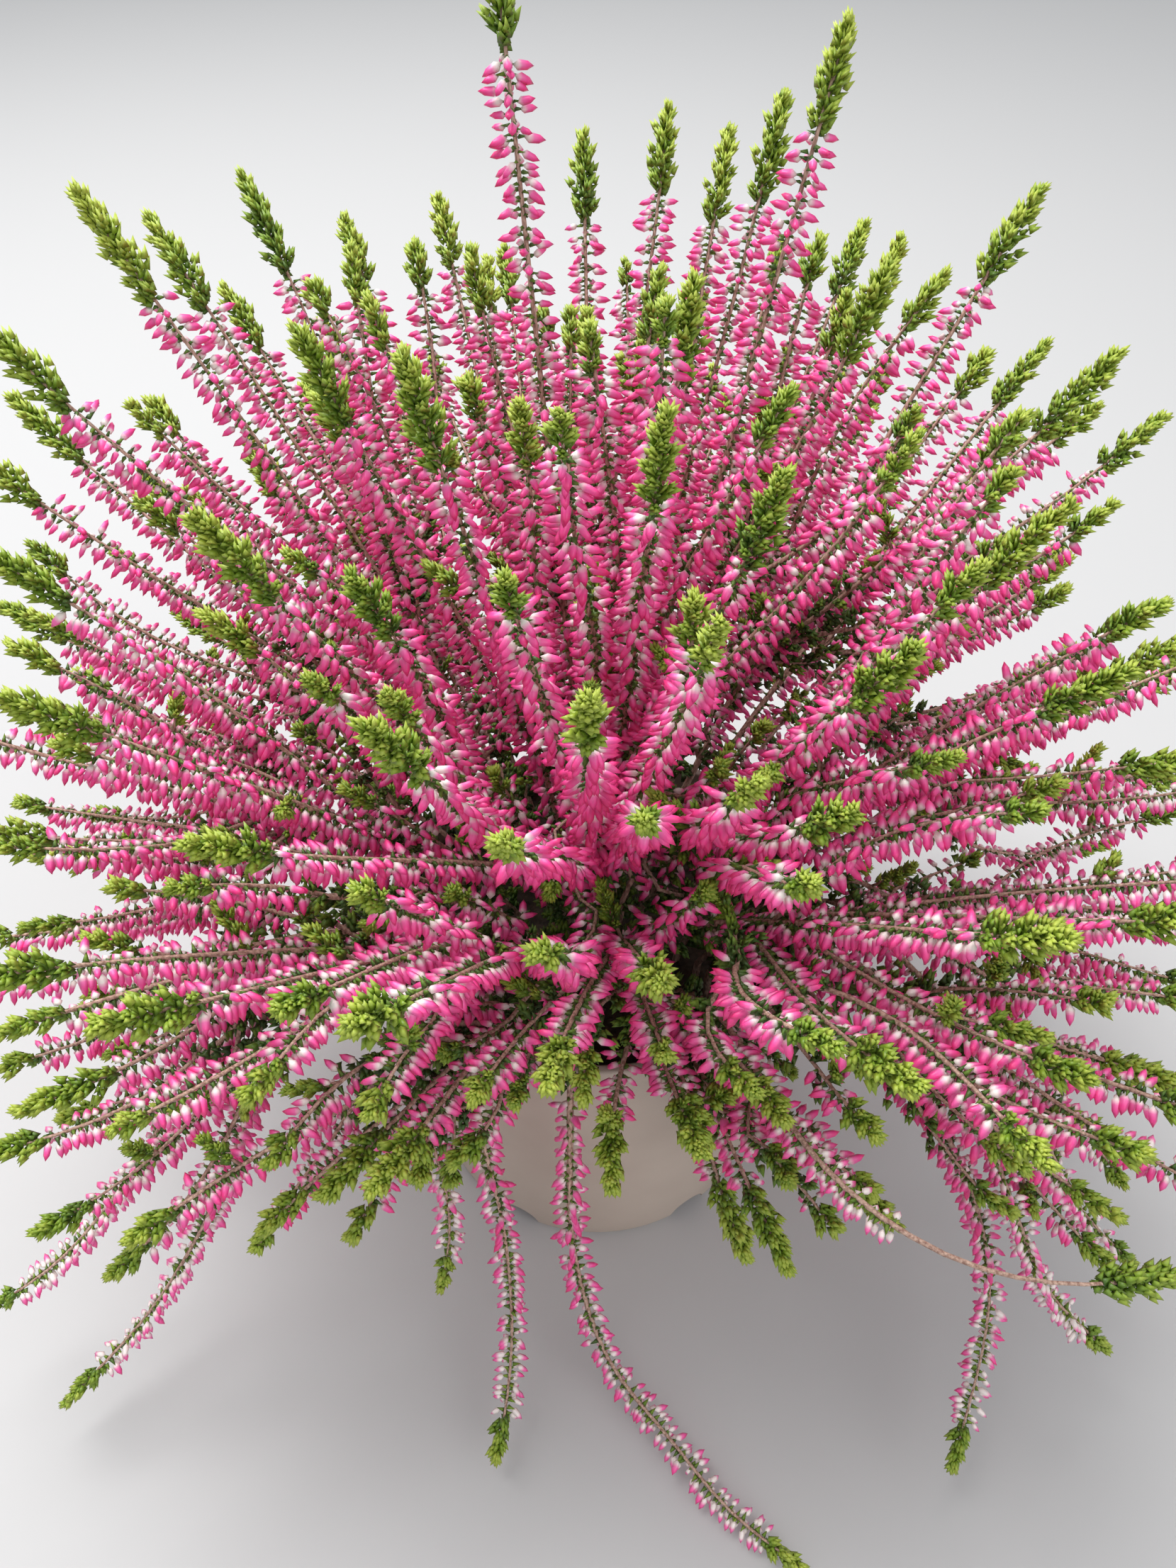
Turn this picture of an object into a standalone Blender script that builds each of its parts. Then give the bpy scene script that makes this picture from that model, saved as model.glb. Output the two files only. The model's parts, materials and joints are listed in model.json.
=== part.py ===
"""A potted heather: a bushy plant of budding sprays rooted in peat, in a plain round plastic pot.

Metres, +Z up. The origin is the middle of the pot's underside, +Y is the back of the plant.
Every branch stands in its own hole in the peat and forks into one or more sprays. A spray is a woody
stem, bare near the soil, then set with small leaves, then with rows of closed flower buds, and it ends
in a leafy plume. Buds and leaf tufts are raised from a slim core along the stem.
"""

import math
from collections import namedtuple

import bmesh
import bpy
import numpy as np
from mathutils import Matrix, Vector

# Pot
POT_HEIGHT = 0.116
RIM_RADIUS = 0.065
BASE_RADIUS = 0.0585
POT_WALL = 0.0013
BASE_THICKNESS = 0.002
LIP_WIDTH = 0.0016
LIP_HEIGHT = 0.007
RIM_EDGE = 0.0008
BASE_ROUNDING = 0.003
DRAIN_SLOTS = 6
DRAIN_SLOT_ANGLE = math.radians(-117)
DRAIN_SLOT_WIDTH = 0.014
DRAIN_SLOT_DEPTH = 0.012
DRAIN_SLOT_HEIGHT = 0.008
DRAIN_SLOT_TAPER = 0.6
DRAIN_SLOT_INSET = 0.002
POT_STEPS = 26

# Peat
FIT_GAP = 0.0003
PEAT_TOP = 0.104
PEAT_CROWNING = 0.003
PEAT_EDGE = 0.001
HOLE_RADIUS = 0.0020
HOLE_DEPTH = 0.009
HOLE_SIDES = 5

# Branches
CROWN = Vector((0, 0, 0.112))
ROOT_SPREAD = 0.046
RISE = 0.034
SAG = 0.010
ARCH = 0.060
ARCH_BELOW = 0.25
MIDDLE_SHARE = 0.58
TRAILING_RISE = 0.016
FORK_SHARE = 0.34
SPRAY_SPACING = math.radians(15.5)
SIDE_ANGLE = math.radians(13)
SIDE_ROOM = math.radians(12.6)
BUSH_LOWEST = math.radians(-16)
BUSH_REACH = 0.200
REACH_WAVE = 0.012
FRONT_DEPTH = 0.070
FRONT_SPLAY = 0.080
FRONT_LEAN = 0.458
SHORTEST_REACH = 0.125
SIDE_REACH = 0.90
SIDE_SETOUT = 0.22
SIDE_MIDDLE_SHARE = 0.66
SIDE_WAYS = 8
CANDIDATES = 240
MOST_BRANCHES = 53
SHOOT_SPACING = math.radians(9.4)
SHOOT_CANDIDATES = 420
SHOOT_TURN = 1.0
MOST_SHOOTS = 42
SHOOT_LOWEST = math.radians(-12)
SHOOT_REACH = 0.90
SHOOT_FORK_SHARE = 0.42
SHOOT_SIDE_FORK = 3
GOLDEN_ANGLE = math.pi * (3 - math.sqrt(5))
SAMPLES = 30
CUBIC_STEPS = 8
CLEAR_ROUNDS = 300
NEIGHBOUR_ROUNDS = 8
NEIGHBOUR_REACH = 0.022
ROOM = 0.0013
CLOSENESS_SHARE = 0.5
RIM_MIDDLE = RIM_RADIUS - 0.001
RIM_CLEARANCE = 0.003
OUTSIDE_FROM = RIM_RADIUS - 0.004
WALL_CLEARANCE = 0.001
SURFACE_CLEARANCE = 0.0008

# What covers a stretch of stem: the distance between its rings, its core's radius, how far the
# covering stands out from the core's faces, how far it leans towards the tip, and the room it needs.
Zone = namedtuple("Zone", "cover pitch core height lean room")
BARK = Zone("bark", 0.030, 0.00125, 0, 0, 0.0024)
LEAF = Zone("leaf", 0.021, 0.0013, 0.0021, 0.003, 0.0033)
BUD = Zone("bud", 0.0210, 0.0018, 0.0044, -0.0012, 0.0060)
PLUME = Zone("plume", 0.0105, 0.0022, 0.0031, 0.0045, 0.0050)
BARE_UNTIL = 0.030
BUDS_FROM = 0.074
PLUME_LENGTH = 0.026
SHOOT_PLUME_LENGTH = 0.019
TIP_RADIUS = 0.0005
TIP_NARROWING = 0.75
SHORTEST_STRETCH = 1 / 3
RING_TURN = math.radians(47)
FORK_BARE = 0.008

# Branches that give the plant its outline, each with its sprays as azimuth and elevation about the
# crown in degrees and reach from the crown in millimetres.
OUTLINE_BRANCHES = [
    [(115, 78, 248)],
    [(146, 52, 224), (137, 56, 222)],
    [(134, 42, 214), (121, 48, 216)],
    [(110, 50, 214), (101, 42, 210)],
    [(92, 56, 220), (80, 63, 220)],
    [(73, 57, 222), (62, 65, 224)],
    [(58, 47, 216), (48, 54, 206)],
    [(40, 74, 236), (25, 69, 196)],
    [(31, 57, 224), (18, 50, 206)],
    [(38, 38, 214), (24, 36, 214)],
    [(168, 61, 230), (-178, 56, 222)],
    [(157, 37, 220), (171, 42, 212)],
    [(-92, 60, 190)],
    [(-112, 57, 190), (-129, 47, 176)],
    [(-107, 43, 188)],
    [(-84, 44, 146), (-95, 37, 150)],
    [(-141, 76, 196), (-170, 72, 196)],
    [(-75, 77, 190), (-50, 73, 180)],
    [(-54, 42, 184), (-66, 36, 170)],
    [(-146, 62, 192), (-133, 66, 172)],
    [(20, 84, 190)],
    [(-50, 60, 176), (-63, 53, 165)],
    [(-149, 47, 196), (-163, 50, 200)],
    [(-126, 37, 188), (-139, 33, 192)],
    [(-30, 50, 184), (-16, 58, 186)],
    [(-38, 35, 188), (-26, 30, 196)],
]

# Sprays that hang over the rim and trail, as points in millimetres after the root's azimuth in degrees.
TRAILING_SPRAYS = [
    (
        -96,
        [
            (-7, -64, 134), (-8, -80, 96), (-7, -88, 52), (3, -107, 22),
            (22, -126, 10), (38, -144, 8), (57, -158, 8),
        ],
    ),
    (
        -115,
        [(-29, -56, 136), (-33, -72, 108), (-28, -84, 66), (-26, -98, 36), (-27, -115, 20), (-30, -131, 13)],
    ),
    (-133, [(-44, -48, 138), (-50, -66, 116), (-44, -80, 84), (-43, -88, 66), (-46, -97, 52)]),
    (-147, [(-60, -44, 136), (-90, -62, 116), (-112, -80, 70), (-134, -98, 38), (-158, -119, 22)]),
    (-160, [(-64, -28, 137), (-102, -58, 124), (-134, -80, 84), (-156, -92, 60), (-180, -101, 44)]),
    (-44, [(52, -48, 136), (84, -70, 120), (106, -86, 82), (115, -102, 44), (102, -136, 22)]),
    (-36, [(64, -40, 138), (92, -74, 134), (108, -96, 104), (126, -104, 66), (146, -111, 44)]),
    (-66, [(30, -62, 142), (48, -108, 152), (70, -129, 152), (96, -135, 148), (126, -131, 141)]),
    (-24, [(72, -30, 138), (106, -56, 119), (126, -68, 92), (143, -79, 64), (160, -88, 48)]),
    (-5, [(74, -14, 138), (112, -34, 120), (134, -47, 90), (150, -56, 68), (162, -66, 56)]),
]


def clear_scene():
    for old in list(bpy.data.objects):
        bpy.data.objects.remove(old)


def new_collection(name, hidden=False):
    collection = bpy.data.collections.new(name)
    collection.hide_render = hidden
    bpy.context.scene.collection.children.link(collection)
    return collection


def make_material(name, colour, roughness):
    material = bpy.data.materials.new(name)
    material.use_nodes = True
    shader = material.node_tree.nodes["Principled BSDF"]
    shader.inputs["Base Color"].default_value = (*colour, 1)
    shader.inputs["Roughness"].default_value = roughness
    shader.inputs["Metallic"].default_value = 0
    material.diffuse_color = (*colour, 1)
    return material


def add_turned(name, profile, material):
    """A solid turned about Z from (radius, height) points that run down its outer side."""
    mesh = bpy.data.meshes.new(name)
    points = [(radius, 0, height) for radius, height in profile]
    mesh.from_pydata(points, [(i, i + 1) for i in range(len(points) - 1)], [])
    turned = bpy.data.objects.new(name, mesh)
    screw = turned.modifiers.new("Turn", "SCREW")
    screw.steps = POT_STEPS
    screw.render_steps = POT_STEPS
    screw.use_merge_vertices = True
    screw.merge_threshold = 0.0001
    screw.use_smooth_shade = True
    mesh.materials.append(material)
    return turned


def add_cutter(name, collection, mesh):
    cutter = bpy.data.objects.new(name, mesh)
    cutter.hide_render = True
    cutter.display_type = "WIRE"
    collection.objects.link(cutter)
    return cutter


def cut(target, cutter):
    boolean = target.modifiers.new("Cut " + cutter.name, "BOOLEAN")
    boolean.operation = "DIFFERENCE"
    boolean.object = cutter
    return boolean


def rounded_corner(centre_radius, centre_height, rounding, count):
    """Points round the foot of the pot's wall, from its side to its underside."""
    angles = [math.pi / 2 * i / count for i in range(count + 1)]
    return [
        (centre_radius + rounding * math.cos(a), centre_height - rounding * math.sin(a))
        for a in angles
    ]


def wall_radius(height):
    """Outer radius of the pot's plain wall at a height."""
    return BASE_RADIUS + (RIM_RADIUS - LIP_WIDTH - BASE_RADIUS) * height / POT_HEIGHT


def build_pot(parts, cutters, plastic):
    inner_floor = BASE_THICKNESS
    inner_foot = wall_radius(inner_floor) - POT_WALL
    inner_rim = wall_radius(POT_HEIGHT) - POT_WALL
    lip_foot = POT_HEIGHT - LIP_HEIGHT
    foot = rounded_corner(BASE_RADIUS - BASE_ROUNDING, BASE_ROUNDING, BASE_ROUNDING, 3)
    profile = [
        (0, inner_floor),
        (inner_foot - BASE_ROUNDING, inner_floor),
        (inner_foot, inner_floor + BASE_ROUNDING),
        (inner_rim, POT_HEIGHT - RIM_EDGE),
        (inner_rim + RIM_EDGE, POT_HEIGHT),
        (RIM_RADIUS - RIM_EDGE, POT_HEIGHT),
        (RIM_RADIUS, POT_HEIGHT - RIM_EDGE),
        (RIM_RADIUS, lip_foot + RIM_EDGE),
        (wall_radius(lip_foot), lip_foot - RIM_EDGE),
        *foot,
        (0, 0),
    ]
    pot = add_turned("pot", profile, plastic)
    parts.objects.link(pot)
    slots = bmesh.new()
    for i in range(DRAIN_SLOTS):
        angle = DRAIN_SLOT_ANGLE + math.tau * i / DRAIN_SLOTS
        corners = bmesh.ops.create_cube(slots, size=1)["verts"]
        size = (DRAIN_SLOT_DEPTH, DRAIN_SLOT_WIDTH, 2 * DRAIN_SLOT_HEIGHT)
        bmesh.ops.scale(slots, vec=size, verts=corners)
        for corner in corners:
            if corner.co.z > 0:
                corner.co.y *= DRAIN_SLOT_TAPER
        bmesh.ops.translate(slots, vec=(BASE_RADIUS - DRAIN_SLOT_INSET, 0, 0), verts=corners)
        bmesh.ops.rotate(slots, verts=corners, matrix=Matrix.Rotation(angle, 3, "Z"))
    mesh = bpy.data.meshes.new("drain slots")
    slots.to_mesh(mesh)
    slots.free()
    cut(pot, add_cutter("drain_slot_cutter", cutters, mesh))
    return pot


def build_peat(parts, cutters, peat_material, roots):
    inner_foot = wall_radius(BASE_THICKNESS) - POT_WALL - FIT_GAP
    inner_top = wall_radius(PEAT_TOP - PEAT_EDGE) - POT_WALL - FIT_GAP
    floor = BASE_THICKNESS + FIT_GAP
    rounding = BASE_ROUNDING + PEAT_EDGE
    profile = [
        (0, PEAT_TOP + PEAT_CROWNING),
        (inner_top, PEAT_TOP - PEAT_EDGE),
        (inner_foot, floor + rounding),
        (inner_foot - rounding, floor),
        (0, floor),
    ]
    peat = add_turned("peat_root_ball", profile, peat_material)
    parts.objects.link(peat)
    holes = bmesh.new()
    for root in roots:
        made = bmesh.ops.create_cone(
            holes,
            cap_ends=True,
            segments=HOLE_SIDES,
            radius1=HOLE_RADIUS,
            radius2=HOLE_RADIUS,
            depth=2 * HOLE_DEPTH,
        )
        bmesh.ops.translate(holes, vec=root, verts=made["verts"])
    mesh = bpy.data.meshes.new("stem holes")
    holes.to_mesh(mesh)
    holes.free()
    cut(peat, add_cutter("stem_hole_cutter", cutters, mesh))
    return peat


def heading(azimuth, elevation):
    flat = math.cos(elevation)
    return Vector((flat * math.cos(azimuth), flat * math.sin(azimuth), math.sin(elevation)))


def listed_branches():
    """The outline branches as lists of (direction, reach)."""
    return [
        [(heading(math.radians(a), math.radians(e)), reach / 1000) for a, e, reach in sprays]
        for sprays in OUTLINE_BRANCHES
    ]


def usual_reach(direction):
    """The bush is a little longer at the back and shorter low down, and ends at its front."""
    reach = BUSH_REACH + REACH_WAVE * direction.y + REACH_WAVE * (direction.z - 0.5)
    return max(SHORTEST_REACH, min(reach, front_reach(direction)))


def front_reach(direction):
    """Reach to a plane in front where the bush ends. It leans forward, and is further out at the sides."""
    forward = -direction.y - FRONT_LEAN * direction.z
    if forward <= 0:
        return math.inf
    return (FRONT_DEPTH + FRONT_SPLAY * abs(direction.x)) / forward


def trailing_heading(points):
    return (Vector(points[2]) / 1000 - CROWN).normalized()


def fill_branches(branches):
    """Adds branches where there is room, walking down the bush in golden-angle steps.

    A new branch also takes a side spray, in the one of SIDE_WAYS directions round it that has the
    most room, if that is room enough.
    """
    taken = [direction for branch in branches for direction, _ in branch]
    taken += [trailing_heading(points) for _, points in TRAILING_SPRAYS]
    for i in range(CANDIDATES):
        height = 1 - (i + 0.5) / CANDIDATES * (1 - math.sin(BUSH_LOWEST))
        new = heading(i * GOLDEN_ANGLE, math.asin(height))
        if len(branches) + len(TRAILING_SPRAYS) >= MOST_BRANCHES:
            break
        if min(new.angle(other) for other in taken) < SPRAY_SPACING:
            continue
        ways = [side_direction(new, math.tau * k / SIDE_WAYS) for k in range(SIDE_WAYS)]
        rooms = [min(way.angle(other) for other in taken) for way in ways]
        side = ways[rooms.index(max(rooms))]
        branches.append([(new, usual_reach(new))])
        taken.append(new)
        if max(rooms) > SIDE_ROOM:
            branches[-1].append((side, SIDE_REACH * usual_reach(side)))
            taken.append(side)
    return branches


def side_direction(direction, turn):
    """The direction SIDE_ANGLE away from another, turned about it."""
    across = direction.orthogonal().normalized()
    across.rotate(Matrix.Rotation(turn, 3, direction))
    return (math.cos(SIDE_ANGLE) * direction + math.sin(SIDE_ANGLE) * across).normalized()


def bezier(p0, p1, p2, p3):
    t = np.linspace(0, 1, SAMPLES)[:, None]
    p0, p1, p2, p3 = (np.array(p) for p in (p0, p1, p2, p3))
    return (1 - t) ** 3 * p0 + 3 * (1 - t) ** 2 * t * p1 + 3 * (1 - t) * t**2 * p2 + t**3 * p3


def evenly(points, count=SAMPLES):
    """The same line with its points spaced evenly."""
    steps = np.linalg.norm(np.diff(points, axis=0), axis=1)
    along = np.concatenate([[0], np.cumsum(steps)])
    wanted = np.linspace(0, along[-1], count)
    return np.stack([np.interp(wanted, along, points[:, k]) for k in range(3)], axis=1)


def through(points):
    """A smooth line through points, as Catmull and Rom's cubic between each two of them."""
    points = np.array(points)
    ends = np.vstack([2 * points[0] - points[1], points, 2 * points[-1] - points[-2]])
    t = np.linspace(0, 1, CUBIC_STEPS, endpoint=False)[:, None]
    pieces = []
    for a, b, c, d in zip(ends, ends[1:], ends[2:], ends[3:]):
        pieces.append(
            0.5 * (2 * b + (c - a) * t + (2 * a - 5 * b + 4 * c - d) * t**2 + (3 * b - a - 3 * c + d) * t**3)
        )
    return evenly(np.vstack([*pieces, points[-1:]]))


def root_place(azimuth, sine_of_elevation):
    spread = ROOT_SPREAD * math.sqrt(min(1, max(0, 1 - sine_of_elevation)))
    return Vector((spread * math.cos(azimuth), spread * math.sin(azimuth), PEAT_TOP))


class Spray:
    """One shoot: its branch's number, and its line from the soil, or a sample of its parent, to its tip."""

    def __init__(self, branch, line, parent=None, fork=None, plume=PLUME_LENGTH):
        self.branch = branch
        self.line = line
        self.parent = parent
        self.fork = fork
        self.plume = plume

    def along(self):
        steps = np.linalg.norm(np.diff(self.line, axis=0), axis=1)
        return np.concatenate([[0], np.cumsum(steps)])

    def grown(self):
        """Length of stem behind the spray's first point."""
        return 0 if self.parent is None else self.parent.along()[self.fork]


def zone_at(from_soil, to_tip, plume):
    if to_tip < plume:
        return PLUME
    if from_soil < BARE_UNTIL:
        return BARK
    return LEAF if from_soil < BUDS_FROM else BUD


def main_line(direction, reach):
    azimuth = math.atan2(direction.y, direction.x)
    root = root_place(azimuth, direction.z)
    tip = CROWN + reach * direction
    level = 1 - abs(direction.z)
    over_rim = ARCH * max(0, ARCH_BELOW - direction.z)
    middle = CROWN + MIDDLE_SHARE * reach * direction + Vector((0, 0, over_rim - SAG * level))
    return evenly(bezier(root, root + Vector((0, 0, RISE)), middle, tip))


def side_line(parent, fork, direction, reach):
    start = Vector(parent.line[fork])
    onward = (Vector(parent.line[fork + 1]) - start).normalized()
    tip = CROWN + reach * direction
    length = (tip - start).length
    middle = CROWN + SIDE_MIDDLE_SHARE * reach * direction
    return evenly(bezier(start, start + SIDE_SETOUT * length * onward, middle, tip))


def side_shoots(sprays):
    """Lesser shoots in golden-angle directions that no spray has taken, each forked from the nearest one.

    The front has none where the bush ends close to the rim, so the pot shows there.
    """
    carriers = [(Vector(spray.line[-1]) - CROWN).normalized() for spray in sprays]
    taken = carriers + [trailing_heading(points) for _, points in TRAILING_SPRAYS]
    shoots = []
    for i in range(SHOOT_CANDIDATES):
        height = 1 - (i + 0.5) / SHOOT_CANDIDATES * (1 - math.sin(SHOOT_LOWEST))
        way = heading(i * GOLDEN_ANGLE + SHOOT_TURN, math.asin(height))
        if len(shoots) == MOST_SHOOTS:
            break
        crowded = min(way.angle(other) for other in taken) < SHOOT_SPACING
        if crowded or front_reach(way) < SHORTEST_REACH:
            continue
        nearest = min(range(len(carriers)), key=lambda k: way.angle(carriers[k]))
        parent = sprays[nearest]
        fork = round(SHOOT_FORK_SHARE * SAMPLES) if parent.parent is None else SHOOT_SIDE_FORK
        line = side_line(parent, fork, way, SHOOT_REACH * usual_reach(way))
        shoots.append(Spray(parent.branch, line, parent, fork, SHOOT_PLUME_LENGTH))
        taken.append(way)
    return shoots


def lay_out():
    """Every spray of the plant, with the lines of different branches bent clear of one another."""
    sprays = []
    branches = fill_branches(listed_branches())
    for number, branch in enumerate(branches):
        main = Spray(number, main_line(*branch[0]))
        sprays.append(main)
        for direction, reach in branch[1:]:
            fork = round(FORK_SHARE * SAMPLES)
            sprays.append(Spray(number, side_line(main, fork, direction, reach), main, fork))
    sprays += side_shoots(sprays)
    for number, (azimuth, points) in enumerate(TRAILING_SPRAYS, len(branches)):
        root = root_place(math.radians(azimuth), 0)
        risen = root + Vector((0, 0, TRAILING_RISE))
        sprays.append(Spray(number, through([root, risen, *(Vector(p) / 1000 for p in points)])))
    bend_clear(sprays)
    return sprays


def bend_clear(sprays):
    """Pushes apart the samples of different branches that lie nearer than their coverings need.

    Each round moves both of a close pair by part of what they lack and evens the moves out along each
    line. Roots move only sideways, forks stay on their parents, and all keep clear of rim and surface.
    """
    lines = np.array([spray.line for spray in sprays])
    owner = np.repeat([spray.branch for spray in sprays], SAMPLES)
    room = []
    for spray in sprays:
        along = spray.along()
        room += [zone_at(spray.grown() + s, along[-1] - s, spray.plume).room for s in along]
    room = np.array(room)
    for step in range(CLEAR_ROUNDS):
        if step % NEIGHBOUR_ROUNDS == 0:
            first, second = close_pairs(lines.reshape(-1, 3), owner)
            need = room[first] + room[second] + ROOM
        flat = lines.reshape(-1, 3)
        offset = flat[first] - flat[second]
        distance = np.sqrt((offset**2).sum(axis=1)) + 1e-9
        push = (CLOSENESS_SHARE * np.clip(need - distance, 0, None) / distance)[:, None] * offset
        moves = np.zeros_like(flat)
        np.add.at(moves, first, push)
        np.add.at(moves, second, -push)
        moves = moves.reshape(lines.shape)
        for _ in range(2):
            moves[:, 1:-1] = 0.25 * moves[:, :-2] + 0.5 * moves[:, 1:-1] + 0.25 * moves[:, 2:]
        lines += moves
        keep_off_pot(lines, room.reshape(lines.shape[:2]))
        for k, spray in enumerate(sprays):
            if spray.parent is None:
                lines[k, :2, :2] = lines[k, :2, :2].mean(axis=0)
                lines[k, 0, 2] = PEAT_TOP
            else:
                lines[k, 0] = lines[sprays.index(spray.parent), spray.fork]
    for spray, line in zip(sprays, lines):
        spray.line = line


def close_pairs(points, owner):
    """Pairs of points of different branches that lie within NEIGHBOUR_REACH of each other."""
    square = (points**2).sum(axis=1)
    apart = square[:, None] + square[None, :] - 2 * points @ points.T
    return np.nonzero(np.triu((apart < NEIGHBOUR_REACH**2) & (owner[:, None] != owner[None, :])))


def keep_off_pot(lines, room):
    """Moves samples out of a ring round the rim, off the wall's outside and up from the surface."""
    flat = np.hypot(lines[..., 0], lines[..., 1])
    from_rim_r = flat - RIM_MIDDLE
    from_rim_z = lines[..., 2] - (POT_HEIGHT - RIM_EDGE)
    distance = np.hypot(from_rim_r, from_rim_z) + 1e-9
    lack = np.clip(room + RIM_CLEARANCE - distance, 0, None)
    lack[:, :3] = 0
    outward = lines[..., :2] / (flat[..., None] + 1e-9)
    lines[..., :2] += (lack * from_rim_r / distance)[..., None] * outward
    lines[..., 2] += lack * np.abs(from_rim_z) / distance
    beside = (flat > OUTSIDE_FROM) & (lines[..., 2] < POT_HEIGHT)
    short = np.where(beside, np.clip(RIM_RADIUS + room + WALL_CLEARANCE - flat, 0, None), 0)
    lines[..., :2] += short[..., None] * outward
    lines[..., 2] = np.maximum(lines[..., 2], np.where(flat > RIM_RADIUS, room + SURFACE_CLEARANCE, 0))


def ring_plan(spray):
    """(places, radii, zones): the rings along a spray, and what covers the stretch after each ring."""
    along = spray.along()
    length = along[-1]
    grown = spray.grown()
    marks = [0, BARE_UNTIL - grown, BUDS_FROM - grown, length - spray.plume, length]
    kinds = [BARK, LEAF, BUD, PLUME]
    if spray.parent is not None:
        marks[1] = max(marks[1], FORK_BARE)
        marks[2] = max(marks[2], FORK_BARE)
    stations, zones = [0.0], []
    for start, end, zone in zip(marks, marks[1:], kinds):
        if end - start < SHORTEST_STRETCH * zone.pitch:
            continue
        count = max(1, round((end - start) / zone.pitch))
        stations += list(np.linspace(start, end, count + 1)[1:])
        zones += [zone] * count
    radii = [zones[0].core] + [zone.core for zone in zones]
    radii[-1] = TIP_RADIUS
    radii[-2] *= TIP_NARROWING
    places = np.stack([np.interp(stations, along, spray.line[:, k]) for k in range(3)], axis=1)
    if spray.parent is None:
        seat = places[0] - (0, 0, HOLE_DEPTH - FIT_GAP)
        places = np.vstack([seat, places])
        radii = [BARK.core, *radii]
        zones = [BARK, *zones]
    return places, radii, zones


def stem_section(guides):
    """The three-cornered outline that every stem's core is drawn with."""
    curve = bpy.data.curves.new("stem section", "CURVE")
    spline = curve.splines.new("POLY")
    spline.points.add(2)
    for i, point in enumerate(spline.points):
        angle = -math.tau * i / 3
        point.co = (math.cos(angle), math.sin(angle), 0, 1)
    spline.use_cyclic_u = True
    section = bpy.data.objects.new("stem_section", curve)
    section.hide_render = True
    section.display_type = "WIRE"
    guides.objects.link(section)
    return section


def core_mesh(name, places, radii, section):
    """A slim tube through the places, as a closed mesh."""
    curve = bpy.data.curves.new(name, "CURVE")
    curve.dimensions = "3D"
    curve.bevel_mode = "OBJECT"
    curve.bevel_object = section
    curve.use_fill_caps = True
    spline = curve.splines.new("POLY")
    spline.points.add(len(places) - 1)
    for i, point in enumerate(spline.points):
        point.co = (*places[i], 1)
        point.radius = radii[i]
        point.tilt = i * RING_TURN
    guide = bpy.data.objects.new(name, curve)
    bpy.context.scene.collection.objects.link(guide)
    graph = bpy.context.evaluated_depsgraph_get()
    mesh = bpy.data.meshes.new_from_object(guide.evaluated_get(graph))
    bpy.data.objects.remove(guide)
    bpy.data.curves.remove(curve)
    return mesh


def cover(mesh, places, radii, zones, covers):
    """Raises buds and leaf tufts from a core: each side of each stretch is poked out into a point."""
    work = bmesh.new()
    work.from_mesh(mesh)
    bmesh.ops.remove_doubles(work, verts=work.verts, dist=0.00005)
    bmesh.ops.recalc_face_normals(work, faces=work.faces)
    middles = (places[1:] + places[:-1]) / 2
    sides = [[] for _ in zones]
    for face in work.faces:
        if len(face.verts) == 4:
            centre = np.array(face.calc_center_median())
            sides[int(((middles - centre) ** 2).sum(axis=1).argmin())].append(face)
        else:
            face.material_index = 0
    for k, zone in enumerate(zones):
        for face in sides[k]:
            face.material_index = covers.index(zone.cover)
        if zone.height:
            onward = Vector(places[k + 1] - places[k]).normalized()
            share = min(1, (radii[k] + radii[k + 1]) / 2 / zone.core)
            poked = bmesh.ops.poke(work, faces=sides[k], offset=share * zone.height)
            bmesh.ops.translate(work, vec=share * zone.lean * onward, verts=poked["verts"])
    bmesh.ops.triangulate(work, faces=work.faces)
    work.to_mesh(mesh)
    work.free()


def add_spray(name, spray, section, materials):
    places, radii, zones = ring_plan(spray)
    mesh = core_mesh(name, places, radii, section)
    for material in materials.values():
        mesh.materials.append(material)
    cover(mesh, places, radii, zones, list(materials))
    return bpy.data.objects.new(name, mesh)


def keep_largest_body(mesh):
    """Drops what a union leaves loose: a hollow that it sealed inside, or a scrap."""
    work = bmesh.new()
    work.from_mesh(mesh)
    unseen = set(work.faces)
    bodies = []
    while unseen:
        body, edge = set(), [unseen.pop()]
        while edge:
            face = edge.pop()
            body.add(face)
            near = {other for line in face.edges for other in line.link_faces} & unseen
            unseen -= near
            edge += near
        bodies.append(body)
    bodies.sort(key=len)
    for body in bodies[:-1]:
        bmesh.ops.delete(work, geom=list(body), context="FACES")
    work.to_mesh(mesh)
    work.free()


def build_branch(name, sprays, parts, section, materials, plant):
    """One branch: its main spray joined with its side sprays by a Boolean union."""
    branch = add_spray(name, sprays[0], section, materials)
    parts.objects.link(branch)
    if len(sprays) > 1:
        sides = new_collection(name + " sides", hidden=True)
        for i, spray in enumerate(sprays[1:]):
            sides.objects.link(add_spray(f"{name}_side_{i}", spray, section, materials))
        union = branch.modifiers.new("Join sides", "BOOLEAN")
        union.operation = "UNION"
        union.operand_type = "COLLECTION"
        union.collection = sides
        graph = bpy.context.evaluated_depsgraph_get()
        joined = bpy.data.meshes.new_from_object(branch.evaluated_get(graph))
        branch.modifiers.clear()
        keep_largest_body(joined)
        branch.data = joined
        for side in list(sides.objects):
            bpy.data.objects.remove(side)
        bpy.data.collections.remove(sides)
    root = Vector(sprays[0].line[0])
    branch.data.transform(Matrix.Translation(-root))
    branch.location = root
    branch.parent = plant
    return branch


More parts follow.
